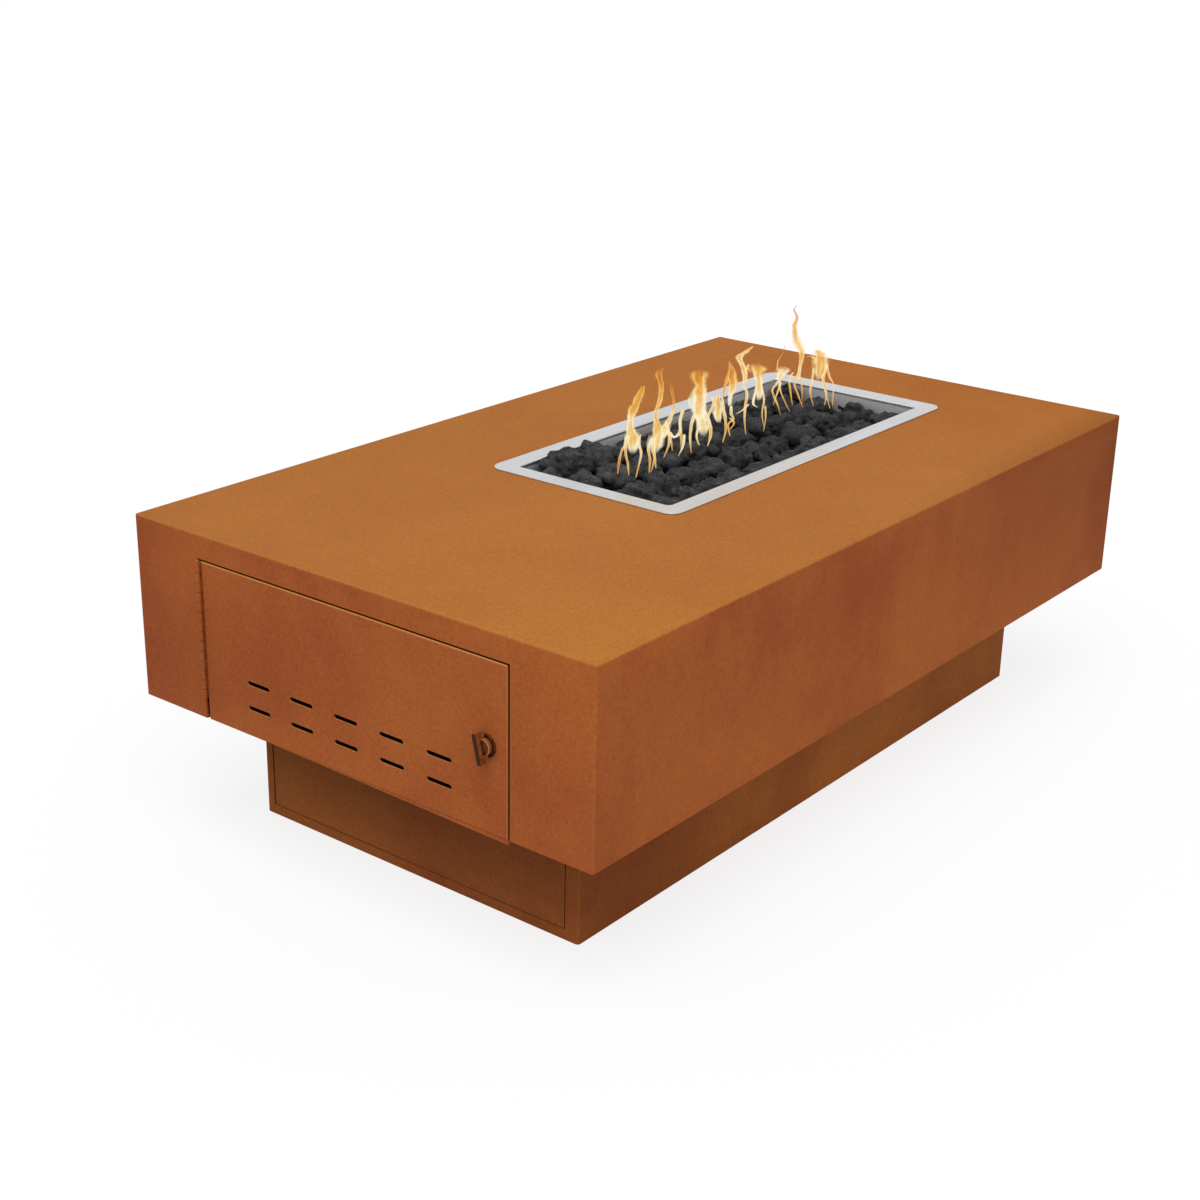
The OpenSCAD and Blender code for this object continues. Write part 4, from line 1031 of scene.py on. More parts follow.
@dataclass
class WingLatch:
    """The quarter-turn latch: escutcheon, wing knob, cam and fasteners."""

    finishes: Finishes
    escutcheon_edge: float = 0.0007
    knob_edge: float = 0.0009
    cam_edge: float = 0.0004
    cast_segments: int = 3

    def build(self) -> None:
        """Builds the latch's pieces."""
        body = Bench.eased("latch_body", "latch_escutcheon", self.escutcheon_edge, self.cast_segments)
        Bench.dress(body, self.finishes.bronze, Body.DOOR, Slot.BRONZE, ("latch_body",))
        knob = Bench.eased("latch_knob", "latch_wing_knob", self.knob_edge, self.cast_segments)
        Bench.dress(knob, self.finishes.wing, Body.LATCH, Slot.BRONZE, ("latch_knob",))
        cam = Bench.eased("latch_cam", "latch_cam_plate", self.cam_edge)
        Bench.dress(cam, self.finishes.zinc, Body.LATCH, Slot.ZINC, ("latch_cam",))
        Bench.finish_nodes(self.finishes.zinc, "latch_nut", "latch_cam_screw")


@dataclass
class FirePan:
    """The drop-in stainless pan and the burner in it."""

    finishes: Finishes
    edge: float = 0.0007
    edge_segments: int = 3

    def build(self) -> None:
        """Builds the pan and dresses the burner."""
        pan = Bench.eased("fire_pan", "drop_in_pan", self.edge, self.edge_segments)
        Bench.dress(pan, self.finishes.stainless, Body.TABLE, Slot.STAINLESS, ("fire_pan",))
        burner = ("burner_tube", "burner_end_caps", "burner_inlet", "burner_saddles")
        Bench.finish_nodes(self.finishes.stainless, *burner)
        Bench.finish_nodes(self.finishes.brass, "burner_locknuts")


@dataclass
class LavaRock:
    """The heap of lava rock: each rock is the CAD's lump, swollen, knobbed and pitted, with chips between."""

    finishes: Finishes
    voxel: float = 0.0021
    swell: float = 1.05
    most_turn: float = 22.0
    most_tilt: float = 9.0
    chips: int = 130
    chip_sizes: tuple[float, float] = (0.011, 0.026)
    chip_depths: tuple[float, float] = (0.010, 0.022)
    chip_reach: float = 0.034
    seed: int = 12

    def lumps(self) -> list[bpy.types.Object]:
        """Takes the CAD's rocks apart.

        Returns:
            One object to a rock.
        """
        whole = Bench.copy_of("lava_rocks", "rock")
        Bench.take(whole)
        bpy.ops.object.mode_set(mode="EDIT")
        bpy.ops.mesh.select_all(action="SELECT")
        bpy.ops.mesh.separate(type="LOOSE")
        bpy.ops.object.mode_set(mode="OBJECT")
        return sorted(bpy.context.selected_objects, key=lambda rock: tuple(rock.data.vertices[0].co))

    def textures(self) -> dict[str, bpy.types.Texture]:
        """Makes the noise that shapes a rock.

        Returns:
            A texture for each size of feature.
        """
        knobs = bpy.data.textures.new("rock_knobs", "CLOUDS")
        knobs.noise_scale, knobs.noise_depth = 0.030, 1
        lobes = bpy.data.textures.new("rock_lobes", "VORONOI")
        lobes.noise_scale, lobes.noise_intensity = 0.019, 1.0
        pits = bpy.data.textures.new("rock_pits", "VORONOI")
        pits.noise_scale, pits.noise_intensity = 0.0075, 1.0
        crumbs = bpy.data.textures.new("rock_crumbs", "CLOUDS")
        crumbs.noise_scale, crumbs.noise_depth = 0.0048, 2
        return {"knobs": knobs, "lobes": lobes, "pits": pits, "crumbs": crumbs}

    def roughen(self, rock: bpy.types.Object, noise: dict[str, bpy.types.Texture], size: float) -> None:
        """Gives a rock its even mesh and its broken surface.

        Args:
            rock: The rock.
            noise: The textures.
            size: Share of the full depth, less for a chip.
        """
        Bench.modify(rock, "REMESH", mode="VOXEL", voxel_size=self.voxel * (0.55 + 0.45 * size))
        for key, depth, middle in (
            ("knobs", 0.0080, 0.5),
            ("lobes", -0.0100, 0.42),
            ("pits", 0.0024, 0.42),
            ("crumbs", 0.0024, 0.5),
        ):
            Bench.modify(
                rock,
                "DISPLACE",
                texture=noise[key],
                texture_coords="LOCAL",
                strength=depth * size,
                mid_level=middle,
            )

    def chip(self, dice: random.Random, where: Vector, size: float) -> bpy.types.Object:
        """Makes one small stone.

        Args:
            dice: The source of chance.
            where: Its middle.
            size: Its rough width.

        Returns:
            The stone.
        """
        Bench.clear()
        bpy.ops.mesh.primitive_ico_sphere_add(subdivisions=2, radius=size / 2, location=where)
        stone = Bench.named("chip")
        stone.scale = (dice.uniform(0.75, 1.2), dice.uniform(0.7, 1.1), dice.uniform(0.55, 0.85))
        stone.rotation_euler = (dice.uniform(-0.6, 0.6), dice.uniform(-0.6, 0.6), dice.uniform(0, math.tau))
        return Bench.settle(stone)

    def heaps(self, dice: random.Random, noise: dict[str, bpy.types.Texture]) -> list[tuple[Vector, float]]:
        """Builds the rocks in two halves, the near one and the far one.

        Args:
            dice: The source of chance.
            noise: The textures.

        Returns:
            The middle and the top of each rock.
        """
        low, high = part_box("lava_rocks")
        middle_y = (low.y + high.y) / 2
        halves: dict[str, list[bpy.types.Object]] = {"front": [], "rear": []}
        places = []
        for rock in self.lumps():
            points = [v.co.copy() for v in rock.data.vertices]
            middle = sum(points, Vector()) / len(points)
            places.append((middle, max(p.z for p in points)))
            turn = Matrix.Rotation(math.radians(dice.uniform(-self.most_turn, self.most_turn)), 4, "Z")
            for axis in ("X", "Y"):
                turn @= Matrix.Rotation(math.radians(dice.uniform(-self.most_tilt, self.most_tilt)), 4, axis)
            grow = Matrix.Diagonal((self.swell, self.swell, 1.0, 1.0))
            rock.data.transform(Matrix.Translation(middle) @ turn @ grow @ Matrix.Translation(-middle))
            self.roughen(rock, noise, 1.0)
            halves["front" if middle.y < middle_y else "rear"].append(rock)
        for side, rocks in halves.items():
            heap = Bench.join(rocks, f"lava_heap_{side}")
            Bench.smooth(heap, 60.0)
            node = ("lava_rocks",) if side == "front" else ()
            Bench.dress(heap, self.finishes.rock, Body.TABLE, Slot.ROCK, node)
        return places

    def gravel(
        self, dice: random.Random, noise: dict[str, bpy.types.Texture], places: list[tuple[Vector, float]]
    ) -> None:
        """Builds the chips that fill the gaps between the rocks.

        Args:
            dice: The source of chance.
            noise: The textures.
            places: The middle and the top of each rock.
        """
        low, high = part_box("lava_rocks")
        reach = self.chip_reach
        stones = []
        for _ in range(self.chips):
            near, top = dice.choice(places)
            size = dice.uniform(*self.chip_sizes)
            spot = Vector((near.x + dice.uniform(-reach, reach), near.y + dice.uniform(-reach, reach), 0.0))
            spot.x = min(max(spot.x, low.x + size / 2), high.x - size / 2)
            spot.y = min(max(spot.y, low.y + size / 2), high.y - size / 2)
            spot.z = top - dice.uniform(*self.chip_depths)
            stones.append(self.chip(dice, spot, size))
        gravel = Bench.join(stones, "lava_chips")
        Bench.modify(gravel, "SUBSURF", levels=1, render_levels=1)
        for key, depth in (("pits", 0.0030), ("crumbs", 0.0018)):
            Bench.modify(
                gravel, "DISPLACE", texture=noise[key], texture_coords="LOCAL", strength=depth, mid_level=0.45
            )
        Bench.smooth(gravel, 60.0)
        Bench.dress(gravel, self.finishes.rock, Body.TABLE, Slot.ROCK)

    def build(self) -> None:
        """Builds the rocks and the chips between them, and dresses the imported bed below."""
        dice = random.Random(self.seed)
        noise = self.textures()
        self.gravel(dice, noise, self.heaps(dice, noise))
        Bench.finish_nodes(self.finishes.rock, "lava_bed")


@dataclass
class GasLine:
    """The pipes, the shut-off valve with its lever, and the corrugated hose up to the burner."""

    finishes: Finishes
    hose_radius: float = 0.008
    hose_bend: float = 0.038
    bend_steps: int = 12
    core_share: float = 0.86
    sides: int = 24
    pitch: float = 0.0046
    ripple: tuple[tuple[float, float], ...] = ((0.22, 1.10), (0.28, 1.057), (0.28, 0.946), (0.22, 0.909))

    def rail(self) -> tuple[bpy.types.Object, float]:
        """Draws the CAD hose's middle line: level from the valve, and then up to the burner.

        Returns:
            The curve, and its length in metres.
        """
        low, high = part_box("flex_hose")
        level = low.z + self.hose_radius
        top_x = high.x - self.hose_radius
        line_y = (low.y + high.y) / 2
        bend = self.hose_bend
        points = [(low.x, level), (top_x - bend, level)]
        for k in range(1, self.bend_steps):
            a = math.pi / 2 * k / self.bend_steps
            points.append((top_x - bend + bend * math.sin(a), level + bend * (1 - math.cos(a))))
        points += [(top_x, level + bend), (top_x, high.z)]
        path = bpy.data.curves.new("hose_line", "CURVE")
        path.dimensions = "3D"
        path.twist_mode = "Z_UP"
        line = path.splines.new("POLY")
        line.points.add(len(points) - 1)
        for point, (x, z) in zip(line.points, points):
            point.co = (x, line_y, z, 1.0)
        rail = bpy.data.objects.new("hose_line", path)
        bpy.context.scene.collection.objects.link(rail)
        return rail, sum(math.dist(p, q) for p, q in zip(points, points[1:]))

    def hose(self) -> None:
        """Builds the corrugated hose: one ripple, repeated along the rail, with its ends closed.

        A ripple's rows are its share of the pitch and the growth of its radius.
        """
        rail, length = self.rail()
        count = round(length / self.pitch)
        step = length / count
        Bench.clear()
        bpy.ops.mesh.primitive_circle_add(
            vertices=self.sides,
            radius=self.hose_radius * self.core_share,
            fill_type="NOTHING",
            rotation=(0, math.pi / 2, 0),
        )
        hose = Bench.settle(Bench.named("corrugated_gas_hose"))
        bpy.ops.object.mode_set(mode="EDIT")
        bpy.ops.mesh.select_all(action="SELECT")
        for share, growth in self.ripple:
            bpy.ops.mesh.extrude_region_move(TRANSFORM_OT_translate={"value": (step * share, 0, 0)})
            bpy.ops.transform.resize(value=(1.0, growth, growth))
        bpy.ops.object.mode_set(mode="OBJECT")
        Bench.modify(
            hose,
            "ARRAY",
            count=count,
            use_relative_offset=False,
            use_constant_offset=True,
            constant_offset_displace=(step, 0.0, 0.0),
            use_merge_vertices=True,
            merge_threshold=0.00001,
        )
        Bench.modify(hose, "CURVE", object=rail, deform_axis="POS_X")
        bpy.data.objects.remove(rail)
        Bench.take(hose)
        bpy.ops.object.mode_set(mode="EDIT")
        bpy.ops.mesh.select_all(action="DESELECT")
        bpy.ops.mesh.select_non_manifold()
        bpy.ops.mesh.edge_face_add()
        bpy.ops.object.mode_set(mode="OBJECT")
        Bench.outward(hose)
        Bench.smooth(hose, 50.0)
        Bench.dress(hose, self.finishes.hose, Body.TABLE, Slot.HOSE, ("flex_hose",))

    def build(self) -> None:
        """Builds the gas line."""
        self.hose()
        for node, name, width in (
            ("shutoff_valve_body", "ball_valve_body", 0.0006),
            ("hose_fittings", "hose_end_fittings", 0.0005),
            ("burner_coupling", "pipe_coupling", 0.0006),
        ):
            piece = Bench.eased(node, name, width)
            Bench.dress(piece, self.finishes.brass, Body.TABLE, Slot.BRASS, (node,))
        for node, name, width in (
            ("riser_elbow", "pipe_elbow", 0.0008),
            ("gas_riser", "pipe_riser", 0.0006),
            ("valve_bracket", "folded_bracket", 0.0005),
        ):
            piece = Bench.eased(node, name, width)
            Bench.dress(piece, self.finishes.zinc, Body.TABLE, Slot.ZINC, (node,))
        lever = Bench.eased("valve_handle", "valve_lever_plate", 0.0006, 3)
        Bench.dress(lever, self.finishes.grip, Body.VALVE_LEVER, Slot.GRIP, ("valve_handle",))
        Bench.finish_nodes(self.finishes.zinc, "inlet_nipple", "valve_bracket_screws", "valve_handle_nut")
        Bench.finish_nodes(self.finishes.brass, "valve_stem")


# Flames and studio


@dataclass(frozen=True)
class PhotoView:
    """Where the photograph was taken from, solved from the corners of the box, the plinth and the pan.

    Eye is the camera's place, and right, down and ahead are its directions. Lens and sensor are in
    millimetres, and frame_pixels is the photograph's width and height.
    """

    eye: Point = (-2.01329, -1.45703, 1.1689)
    right: Point = (0.621796, -0.782981, 0.017617)
    down: Point = (-0.273403, -0.23809, -0.931968)
    ahead: Point = (0.733908, 0.574677, -0.362113)
    lens: float = 58.62
    sensor: float = 36.0
    frame_pixels: float = 1200.0

    def on_upright(self, x: float, y: float, plane_y: float) -> tuple[Vector, float]:
        """Finds where the line of sight through a pixel meets an upright plane along the table.

        Args:
            x: Pixel across the photograph.
            y: Pixel down the photograph.
            plane_y: The plane's place across the table, in metres.

        Returns:
            The point, and the size of one pixel there, in metres.
        """
        focal = self.lens / self.sensor * self.frame_pixels
        middle = self.frame_pixels / 2
        aside = Vector(self.right) * (x - middle) + Vector(self.down) * (y - middle)
        sight = Vector(self.ahead) + aside / focal
        reach = (plane_y - self.eye[1]) / sight.y
        return Vector(self.eye) + sight * reach, reach / focal


class FlamePart(Enum):
    """The two kinds of strand in a gas flame."""

    LEG = "leg"
    TONGUE = "tongue"


@dataclass(frozen=True)
class Strand:
    """One strand of flame, as it was picked on an enlarged crop of the photograph.

    Heat at its foot and at its tip runs from 0, a dark orange wisp, to 1, near white. Its points are
    (x, y, width) in pixels of that crop, from the foot to the tip.
    """

    part: FlamePart
    foot_heat: float
    tip_heat: float
    points: tuple[Point, ...]


@dataclass
class Flames:
    """The gas flames. They are no piece of the object, so they are part of the stage.

    The crop that the strands were picked on has its corner at pixel crop_corner of the photograph's 1200 by
    1200 frame and is enlarged crop_zoom times. A strand stands where the lines of sight through its points
    meet the upright plane along the burner, and the legs step off that plane by turns.
    """

    view: PhotoView
    crop_corner: tuple[float, float] = (600.0, 290.0)
    crop_zoom: float = 6.0
    leg_steps: tuple[float, ...] = (0.0, 0.003, -0.003, 0.005, -0.005)
    least_width: float = 0.0008
    least_end: float = 0.001
    widen: float = 1.35
    rows: int = 30
    columns: int = 8
    line_y: float = field(init=False)
    strands: tuple[Strand, ...] = (
        Strand(FlamePart.LEG, 0.3, 0.95, (
            (106, 1108, 5), (114, 1030, 14), (130, 965, 14), (160, 915, 18), (172, 868, 22),
        )),
        Strand(FlamePart.LEG, 0.25, 0.95, (
            (184, 1118, 5), (178, 1045, 12), (165, 985, 16), (166, 930, 20), (172, 868, 24),
        )),
        Strand(FlamePart.LEG, 0.25, 0.9, (
            (203, 1126, 5), (224, 1040, 12), (236, 975, 16), (222, 915, 20), (232, 862, 14),
        )),
        Strand(FlamePart.TONGUE, 0.95, 0.1, (
            (198, 985, 46), (196, 930, 66), (196, 880, 74), (182, 812, 40), (192, 735, 54),
            (228, 650, 48), (252, 600, 36), (262, 572, 14),
        )),
        Strand(FlamePart.LEG, 0.25, 0.9, ((276, 1094, 5), (281, 1015, 13), (271, 945, 16), (292, 895, 18))),
        Strand(FlamePart.LEG, 0.25, 0.9, ((305, 1096, 5), (326, 1015, 12), (318, 945, 15), (332, 880, 18))),
        Strand(FlamePart.LEG, 0.25, 0.9, ((347, 1080, 5), (340, 1005, 12), (336, 935, 15), (346, 862, 18))),
        Strand(FlamePart.LEG, 0.3, 0.8, ((370, 1005, 4), (402, 925, 13), (398, 850, 15), (378, 798, 16))),
        Strand(FlamePart.TONGUE, 0.9, 0, (
            (318, 985, 60), (332, 930, 84), (346, 870, 80), (350, 812, 54), (334, 752, 26),
            (352, 684, 24), (370, 600, 30), (362, 545, 34), (352, 505, 40), (382, 462, 8),
        )),
        Strand(FlamePart.TONGUE, 0.85, 0.05, (
            (372, 900, 44), (384, 850, 50), (404, 800, 34), (434, 742, 22), (443, 682, 12),
            (433, 612, 18), (421, 552, 3),
        )),
        Strand(FlamePart.LEG, 0.3, 0.9, ((434, 965, 4), (426, 900, 13), (408, 832, 16), (398, 786, 14))),
        Strand(FlamePart.LEG, 0.9, 0.7, (
            (430, 850, 12), (452, 888, 24), (486, 858, 18), (495, 780, 14), (516, 722, 12),
        )),
        Strand(FlamePart.LEG, 0.3, 0.9, ((458, 995, 4), (488, 930, 12), (495, 860, 14))),
        Strand(FlamePart.LEG, 0.3, 0.9, ((507, 972, 4), (505, 880, 14), (498, 790, 18), (520, 716, 16))),
        Strand(FlamePart.LEG, 0.3, 0.95, ((530, 978, 4), (522, 885, 14), (532, 800, 18), (552, 735, 22))),
        Strand(FlamePart.TONGUE, 1, 0.25, (
            (618, 880, 44), (622, 815, 62), (596, 745, 78), (588, 680, 92), (592, 620, 86),
            (602, 575, 62), (594, 525, 84), (598, 494, 112), (604, 478, 96),
        )),
        Strand(FlamePart.LEG, 0.5, 1, ((606, 935, 4), (590, 880, 16), (602, 805, 20), (584, 742, 22))),
        Strand(FlamePart.LEG, 0.5, 1, ((634, 938, 4), (654, 852, 18), (634, 768, 22), (604, 704, 24))),
        Strand(FlamePart.LEG, 0.3, 0.8, ((694, 836, 4), (668, 765, 14), (698, 690, 16), (690, 642, 10))),
        Strand(FlamePart.LEG, 0.3, 0.85, (
            (717, 915, 4), (736, 842, 13), (734, 772, 16), (722, 702, 18), (714, 634, 8),
        )),
        Strand(FlamePart.LEG, 0.4, 0.6, ((634, 628, 4), (668, 636, 8), (700, 632, 9), (722, 648, 6))),
        Strand(FlamePart.TONGUE, 0.8, 0.5, (
            (712, 800, 30), (708, 750, 52), (712, 700, 50), (708, 655, 28), (712, 620, 6),
        )),
        Strand(FlamePart.LEG, 0.3, 0.9, (
            (770, 876, 4), (758, 806, 13), (788, 772, 14), (776, 738, 14), (776, 688, 14),
        )),
        Strand(FlamePart.LEG, 0.3, 0.7, ((796, 842, 4), (822, 802, 11), (794, 768, 12))),
        Strand(FlamePart.TONGUE, 0.95, 0.1, (
            (776, 700, 20), (780, 640, 32), (800, 578, 46), (792, 515, 50), (788, 470, 30),
            (774, 424, 4),
        )),
        Strand(FlamePart.LEG, 0.2, 0.3, ((736, 648, 6), (752, 570, 18), (770, 505, 16))),
        Strand(FlamePart.LEG, 0.2, 0.8, (
            (886, 874, 3), (878, 780, 9), (882, 700, 14), (892, 622, 15), (868, 568, 14),
        )),
        Strand(FlamePart.LEG, 0.5, 0.7, ((804, 742, 5), (846, 718, 14), (884, 680, 12))),
        Strand(FlamePart.TONGUE, 0.75, 0.4, (
            (866, 575, 18), (872, 512, 28), (852, 446, 34), (836, 402, 38), (868, 374, 36),
            (902, 350, 20), (920, 336, 3),
        )),
        Strand(FlamePart.LEG, 0.2, 0.6, ((963, 846, 3), (976, 765, 8), (974, 690, 10))),
        Strand(FlamePart.LEG, 0.2, 0.8, ((986, 832, 3), (972, 745, 8), (984, 650, 12), (960, 560, 12))),
        Strand(FlamePart.LEG, 0.7, 0.85, ((958, 706, 10), (930, 684, 12), (944, 610, 14), (958, 545, 14))),
        Strand(FlamePart.TONGUE, 0.75, 0.35, (
            (952, 665, 30), (956, 600, 40), (954, 545, 42), (944, 498, 66), (942, 462, 104),
            (930, 438, 70),
        )),
        Strand(FlamePart.LEG, 0.6, 0.4, ((878, 548, 5), (888, 495, 14), (912, 445, 14))),
        Strand(FlamePart.LEG, 0.2, 0.8, (
            (1066, 748, 3), (1046, 680, 10), (1016, 602, 14), (1042, 558, 14), (1078, 500, 16),
        )),
        Strand(FlamePart.LEG, 0.3, 0.8, ((1040, 690, 4), (1062, 622, 10), (1086, 552, 14))),
        Strand(FlamePart.LEG, 0.2, 0.8, ((1150, 735, 3), (1112, 655, 9), (1090, 590, 12), (1092, 520, 12))),
        Strand(FlamePart.LEG, 0.2, 0.7, (
            (1144, 690, 3), (1132, 605, 10), (1126, 535, 12), (1150, 490, 12),
        )),
        Strand(FlamePart.TONGUE, 0.85, 0.5, (
            (1078, 548, 30), (1082, 510, 52), (1098, 478, 92), (1090, 452, 54),
        )),
        Strand(FlamePart.LEG, 0.5, 0, ((1046, 482, 8), (1050, 425, 10), (1080, 372, 5), (1089, 328, 3))),
        Strand(FlamePart.LEG, 0.2, 0.7, (
            (1216, 705, 3), (1186, 622, 10), (1166, 560, 12), (1190, 498, 14),
        )),
        Strand(FlamePart.LEG, 0.2, 0.7, ((1222, 690, 3), (1222, 590, 9), (1204, 500, 12))),
        Strand(FlamePart.TONGUE, 0.75, 0, (
            (1188, 545, 20), (1200, 462, 20), (1210, 392, 28), (1196, 338, 52), (1176, 288, 42),
            (1166, 222, 28), (1182, 160, 18), (1164, 118, 9), (1186, 88, 2),
        )),
        Strand(FlamePart.LEG, 0.2, 0.8, (
            (1300, 705, 3), (1280, 622, 10), (1290, 545, 13), (1302, 470, 14),
        )),
        Strand(FlamePart.LEG, 0.2, 0.8, (
            (1328, 690, 3), (1342, 622, 10), (1324, 545, 12), (1332, 480, 14),
        )),
        Strand(FlamePart.LEG, 0.2, 0.7, ((1382, 715, 3), (1350, 605, 9), (1330, 505, 12))),
        Strand(FlamePart.LEG, 0.2, 0.7, ((1402, 705, 3), (1411, 575, 9), (1386, 520, 13), (1368, 440, 16))),
        Strand(FlamePart.TONGUE, 0.8, 0.2, (
            (1306, 545, 40), (1320, 480, 78), (1328, 420, 88), (1312, 376, 60), (1304, 358, 20),
        )),
        Strand(FlamePart.LEG, 0.6, 0.2, ((1320, 420, 22), (1284, 402, 16), (1252, 404, 3))),
    )

    def __post_init__(self) -> None:
        """Finds the burner's middle across the table."""
        low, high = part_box("burner_tube")
        self.line_y = (low.y + high.y) / 2

    def placed(self, strand: Strand) -> tuple[Point, ...]:
        """Puts a strand's points on the upright plane along the burner.

        Args:
            strand: The strand.

        Returns:
            The x, z and width of each point, in metres.
        """
        points = []
        for x, y, width in strand.points:
            across = self.crop_corner[0] + x / self.crop_zoom
            down = self.crop_corner[1] + y / self.crop_zoom
            spot, pixel = self.view.on_upright(across, down, self.line_y)
            points.append((spot.x, spot.z, width / self.crop_zoom * pixel))
        return tuple(points)

    @staticmethod
    def along(points: tuple[Point, ...], share: float) -> Point:
        """Finds a place on the smooth line through a strand's points.

        Args:
            points: The x, z and width of each point.
            share: How far along, from 0 to 1.

        Returns:
            The x, z and width there.
        """
        last = len(points) - 1
        place = min(share * last, last - 1e-6)
        k = int(place)
        t = place - k
        before, start = points[max(k - 1, 0)], points[k]
        end, after = points[k + 1], points[min(k + 2, last)]
        return tuple(
            0.5 * (2 * q + (r - p) * t + (2 * p - 5 * q + 4 * r - s) * t**2 + (3 * q - p - 3 * r + s) * t**3)
            for p, q, r, s in zip(before, start, end, after)
        )

    def ribbon(self, strand: Strand, number: int, across: tuple[float, float]) -> bpy.types.Object:
        """Builds one strand as a curved ribbon.

        Args:
            strand: The strand.
            number: Its place in the list.
            across: The level direction that its width runs in.

        Returns:
            The mesh object.
        """
        Bench.clear()
        bpy.ops.mesh.primitive_grid_add(x_subdivisions=self.columns, y_subdivisions=self.rows, size=2.0)
        sheet = Bench.named(f"flame_{number:02d}")
        fields = ("flame_heat", "flame_side", "flame_cover")
        for field in fields:
            sheet.data.attributes.new(field, "FLOAT", "POINT")
        heat, side, cover = (sheet.data.attributes[field] for field in fields)
        points = self.placed(strand)
        foot, tip = points[0], points[-1]
        tall = math.dist(foot[:2], tip[:2])
        foot_end, tip_end = max(foot[2], self.least_end), max(tip[2], self.least_end)
        step = self.leg_steps[number % len(self.leg_steps)] if strand.part is FlamePart.LEG else 0.0
        for k, vertex in enumerate(sheet.data.vertices):
            u, share = vertex.co.x, (vertex.co.y + 1.0) / 2.0
            x, z, width = self.along(points, share)
            rise = min(share * tall / foot_end, (1.0 - share) * tall / tip_end, 1.0)
            reach = max(width, self.least_width) * self.widen / 2.0 * u * (0.5 + 0.5 * rise)
            vertex.co = (x + across[0] * reach, self.line_y + step + across[1] * reach, z)
            heat.data[k].value = strand.foot_heat + (strand.tip_heat - strand.foot_heat) * share
            side.data[k].value = u
            cover.data[k].value = rise * rise * (3.0 - 2.0 * rise)
        return sheet

    def build(self) -> None:
        """Builds every strand twice, crosswise, and keeps the flames off the object's light and shadow."""
        facing = self.view.right[:2]
        cross = (-facing[1], facing[0])
        sheets = []
        for number, strand in enumerate(self.strands):
            sheets.append(self.ribbon(strand, number, facing))
            sheets.append(self.ribbon(strand, number, cross))
        fire = Bench.join(sheets, "flames")
        Bench.smooth(fire, 60.0)
        fire.data.materials.clear()
        fire.data.materials.append(FlameGlow().make())
        fire.visible_diffuse = False
        fire.visible_shadow = False
        LOG.info("flames: %d strands on the stage", len(self.strands))


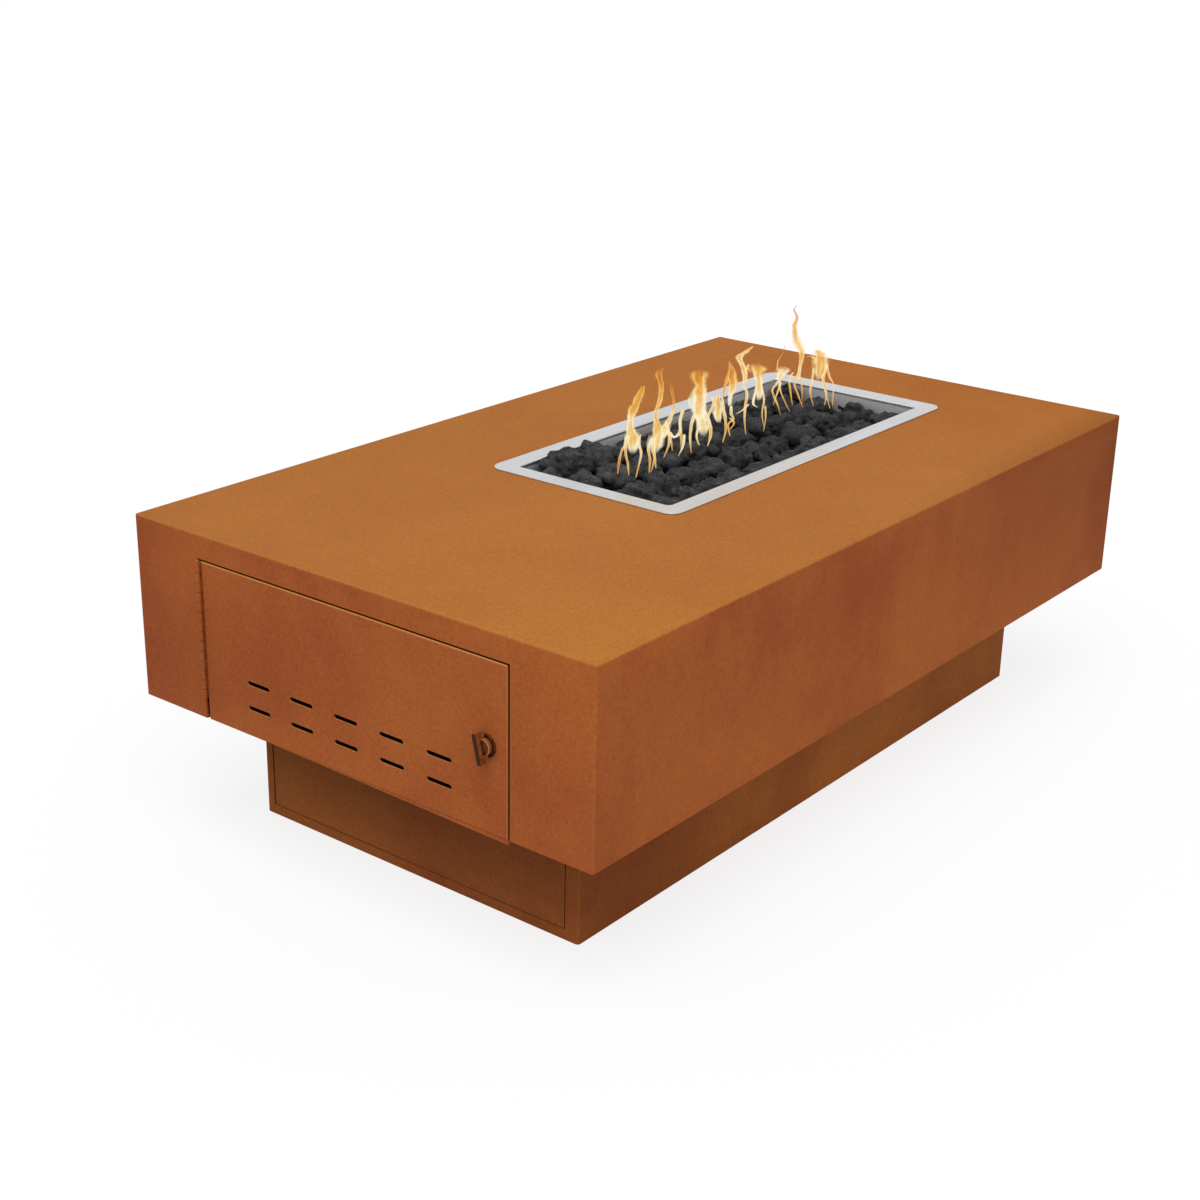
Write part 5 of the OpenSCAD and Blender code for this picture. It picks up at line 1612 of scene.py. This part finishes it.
@dataclass
class Studio:
    """Camera, lights, backdrop and floor."""

    view: PhotoView
    sky: float = 0.50
    sun: float = 1.72
    sun_spread: float = 55.0
    sun_from: Point = (-0.20, -0.10, 0.50)
    floor_size: float = 60.0
    floor_gap: float = 0.0004

    def camera(self) -> None:
        """Places the camera where the photograph was taken from."""
        data = bpy.data.cameras.new("photo_camera")
        data.sensor_width = self.view.sensor
        data.sensor_fit = "HORIZONTAL"
        data.lens = self.view.lens
        data.clip_start, data.clip_end = 0.05, 60.0
        camera = bpy.data.objects.new("photo_camera", data)
        right, up, back = Vector(self.view.right), -Vector(self.view.down), -Vector(self.view.ahead)
        turn = Matrix((right, up, back)).transposed().to_4x4()
        camera.matrix_world = Matrix.Translation(Vector(self.view.eye)) @ turn
        bpy.context.scene.collection.objects.link(camera)
        bpy.context.scene.camera = camera

    def key_light(self) -> None:
        """Adds the one broad, even light from above the door end."""
        data = bpy.data.lights.new("key_light", "SUN")
        data.energy = self.sun
        data.angle = math.radians(self.sun_spread)
        lamp = bpy.data.objects.new("key_light", data)
        lamp.location = (-1.2, -0.6, 3.0)
        lamp.rotation_mode = "QUATERNION"
        lamp.rotation_quaternion = Vector(self.sun_from).to_track_quat("Z", "Y")
        bpy.context.scene.collection.objects.link(lamp)

    def backdrop(self) -> None:
        """Makes the world white to the camera, and a plain soft light to the object."""
        world = bpy.data.worlds.new("studio_white")
        bpy.context.scene.world = world
        world.use_nodes = True
        tree = world.node_tree
        tree.nodes.clear()
        output = tree.nodes.new("ShaderNodeOutputWorld")
        path = tree.nodes.new("ShaderNodeLightPath")
        seen = tree.nodes.new("ShaderNodeMath")
        seen.operation = "MAXIMUM"
        tree.links.new(path.outputs["Is Camera Ray"], seen.inputs[0])
        tree.links.new(path.outputs["Is Glossy Ray"], seen.inputs[1])
        also = tree.nodes.new("ShaderNodeMath")
        also.operation = "MAXIMUM"
        tree.links.new(seen.outputs[0], also.inputs[0])
        tree.links.new(path.outputs["Is Transmission Ray"], also.inputs[1])
        light = tree.nodes.new("ShaderNodeBackground")
        light.inputs["Strength"].default_value = self.sky
        white = tree.nodes.new("ShaderNodeBackground")
        white.inputs["Color"].default_value = (1.0, 1.0, 1.0, 1.0)
        light.inputs["Color"].default_value = (1.0, 1.0, 1.0, 1.0)
        mixed = tree.nodes.new("ShaderNodeMixShader")
        tree.links.new(also.outputs[0], mixed.inputs["Fac"])
        tree.links.new(light.outputs[0], mixed.inputs[1])
        tree.links.new(white.outputs[0], mixed.inputs[2])
        tree.links.new(mixed.outputs[0], output.inputs["Surface"])

    def floor(self) -> None:
        """Lays the white floor."""
        Bench.clear()
        bpy.ops.mesh.primitive_plane_add(size=self.floor_size, location=(0.0, 0.0, -self.floor_gap))
        paper = Bench.settle(Bench.named("studio_floor"))
        paper.data.materials.append(StudioPaper().make())

    def build(self) -> None:
        """Sets up the studio."""
        scene = bpy.context.scene
        scene.view_settings.view_transform = "Standard"
        self.camera()
        self.backdrop()
        self.floor()
        self.key_light()
        LOG.info("studio ready")


def main() -> None:
    logging.basicConfig(level=logging.INFO, format="%(name)s: %(message)s")
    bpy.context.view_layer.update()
    view = PhotoView()
    Studio(view).build()
    finishes = Finishes()
    SteelBox(finishes).build()
    Plinth(finishes).build()
    ServiceDoor(finishes).build()
    WingLatch(finishes).build()
    FirePan(finishes).build()
    LavaRock(finishes).build()
    GasLine(finishes).build()
    Flames(view).build()


if __name__ == "__main__":
    main()
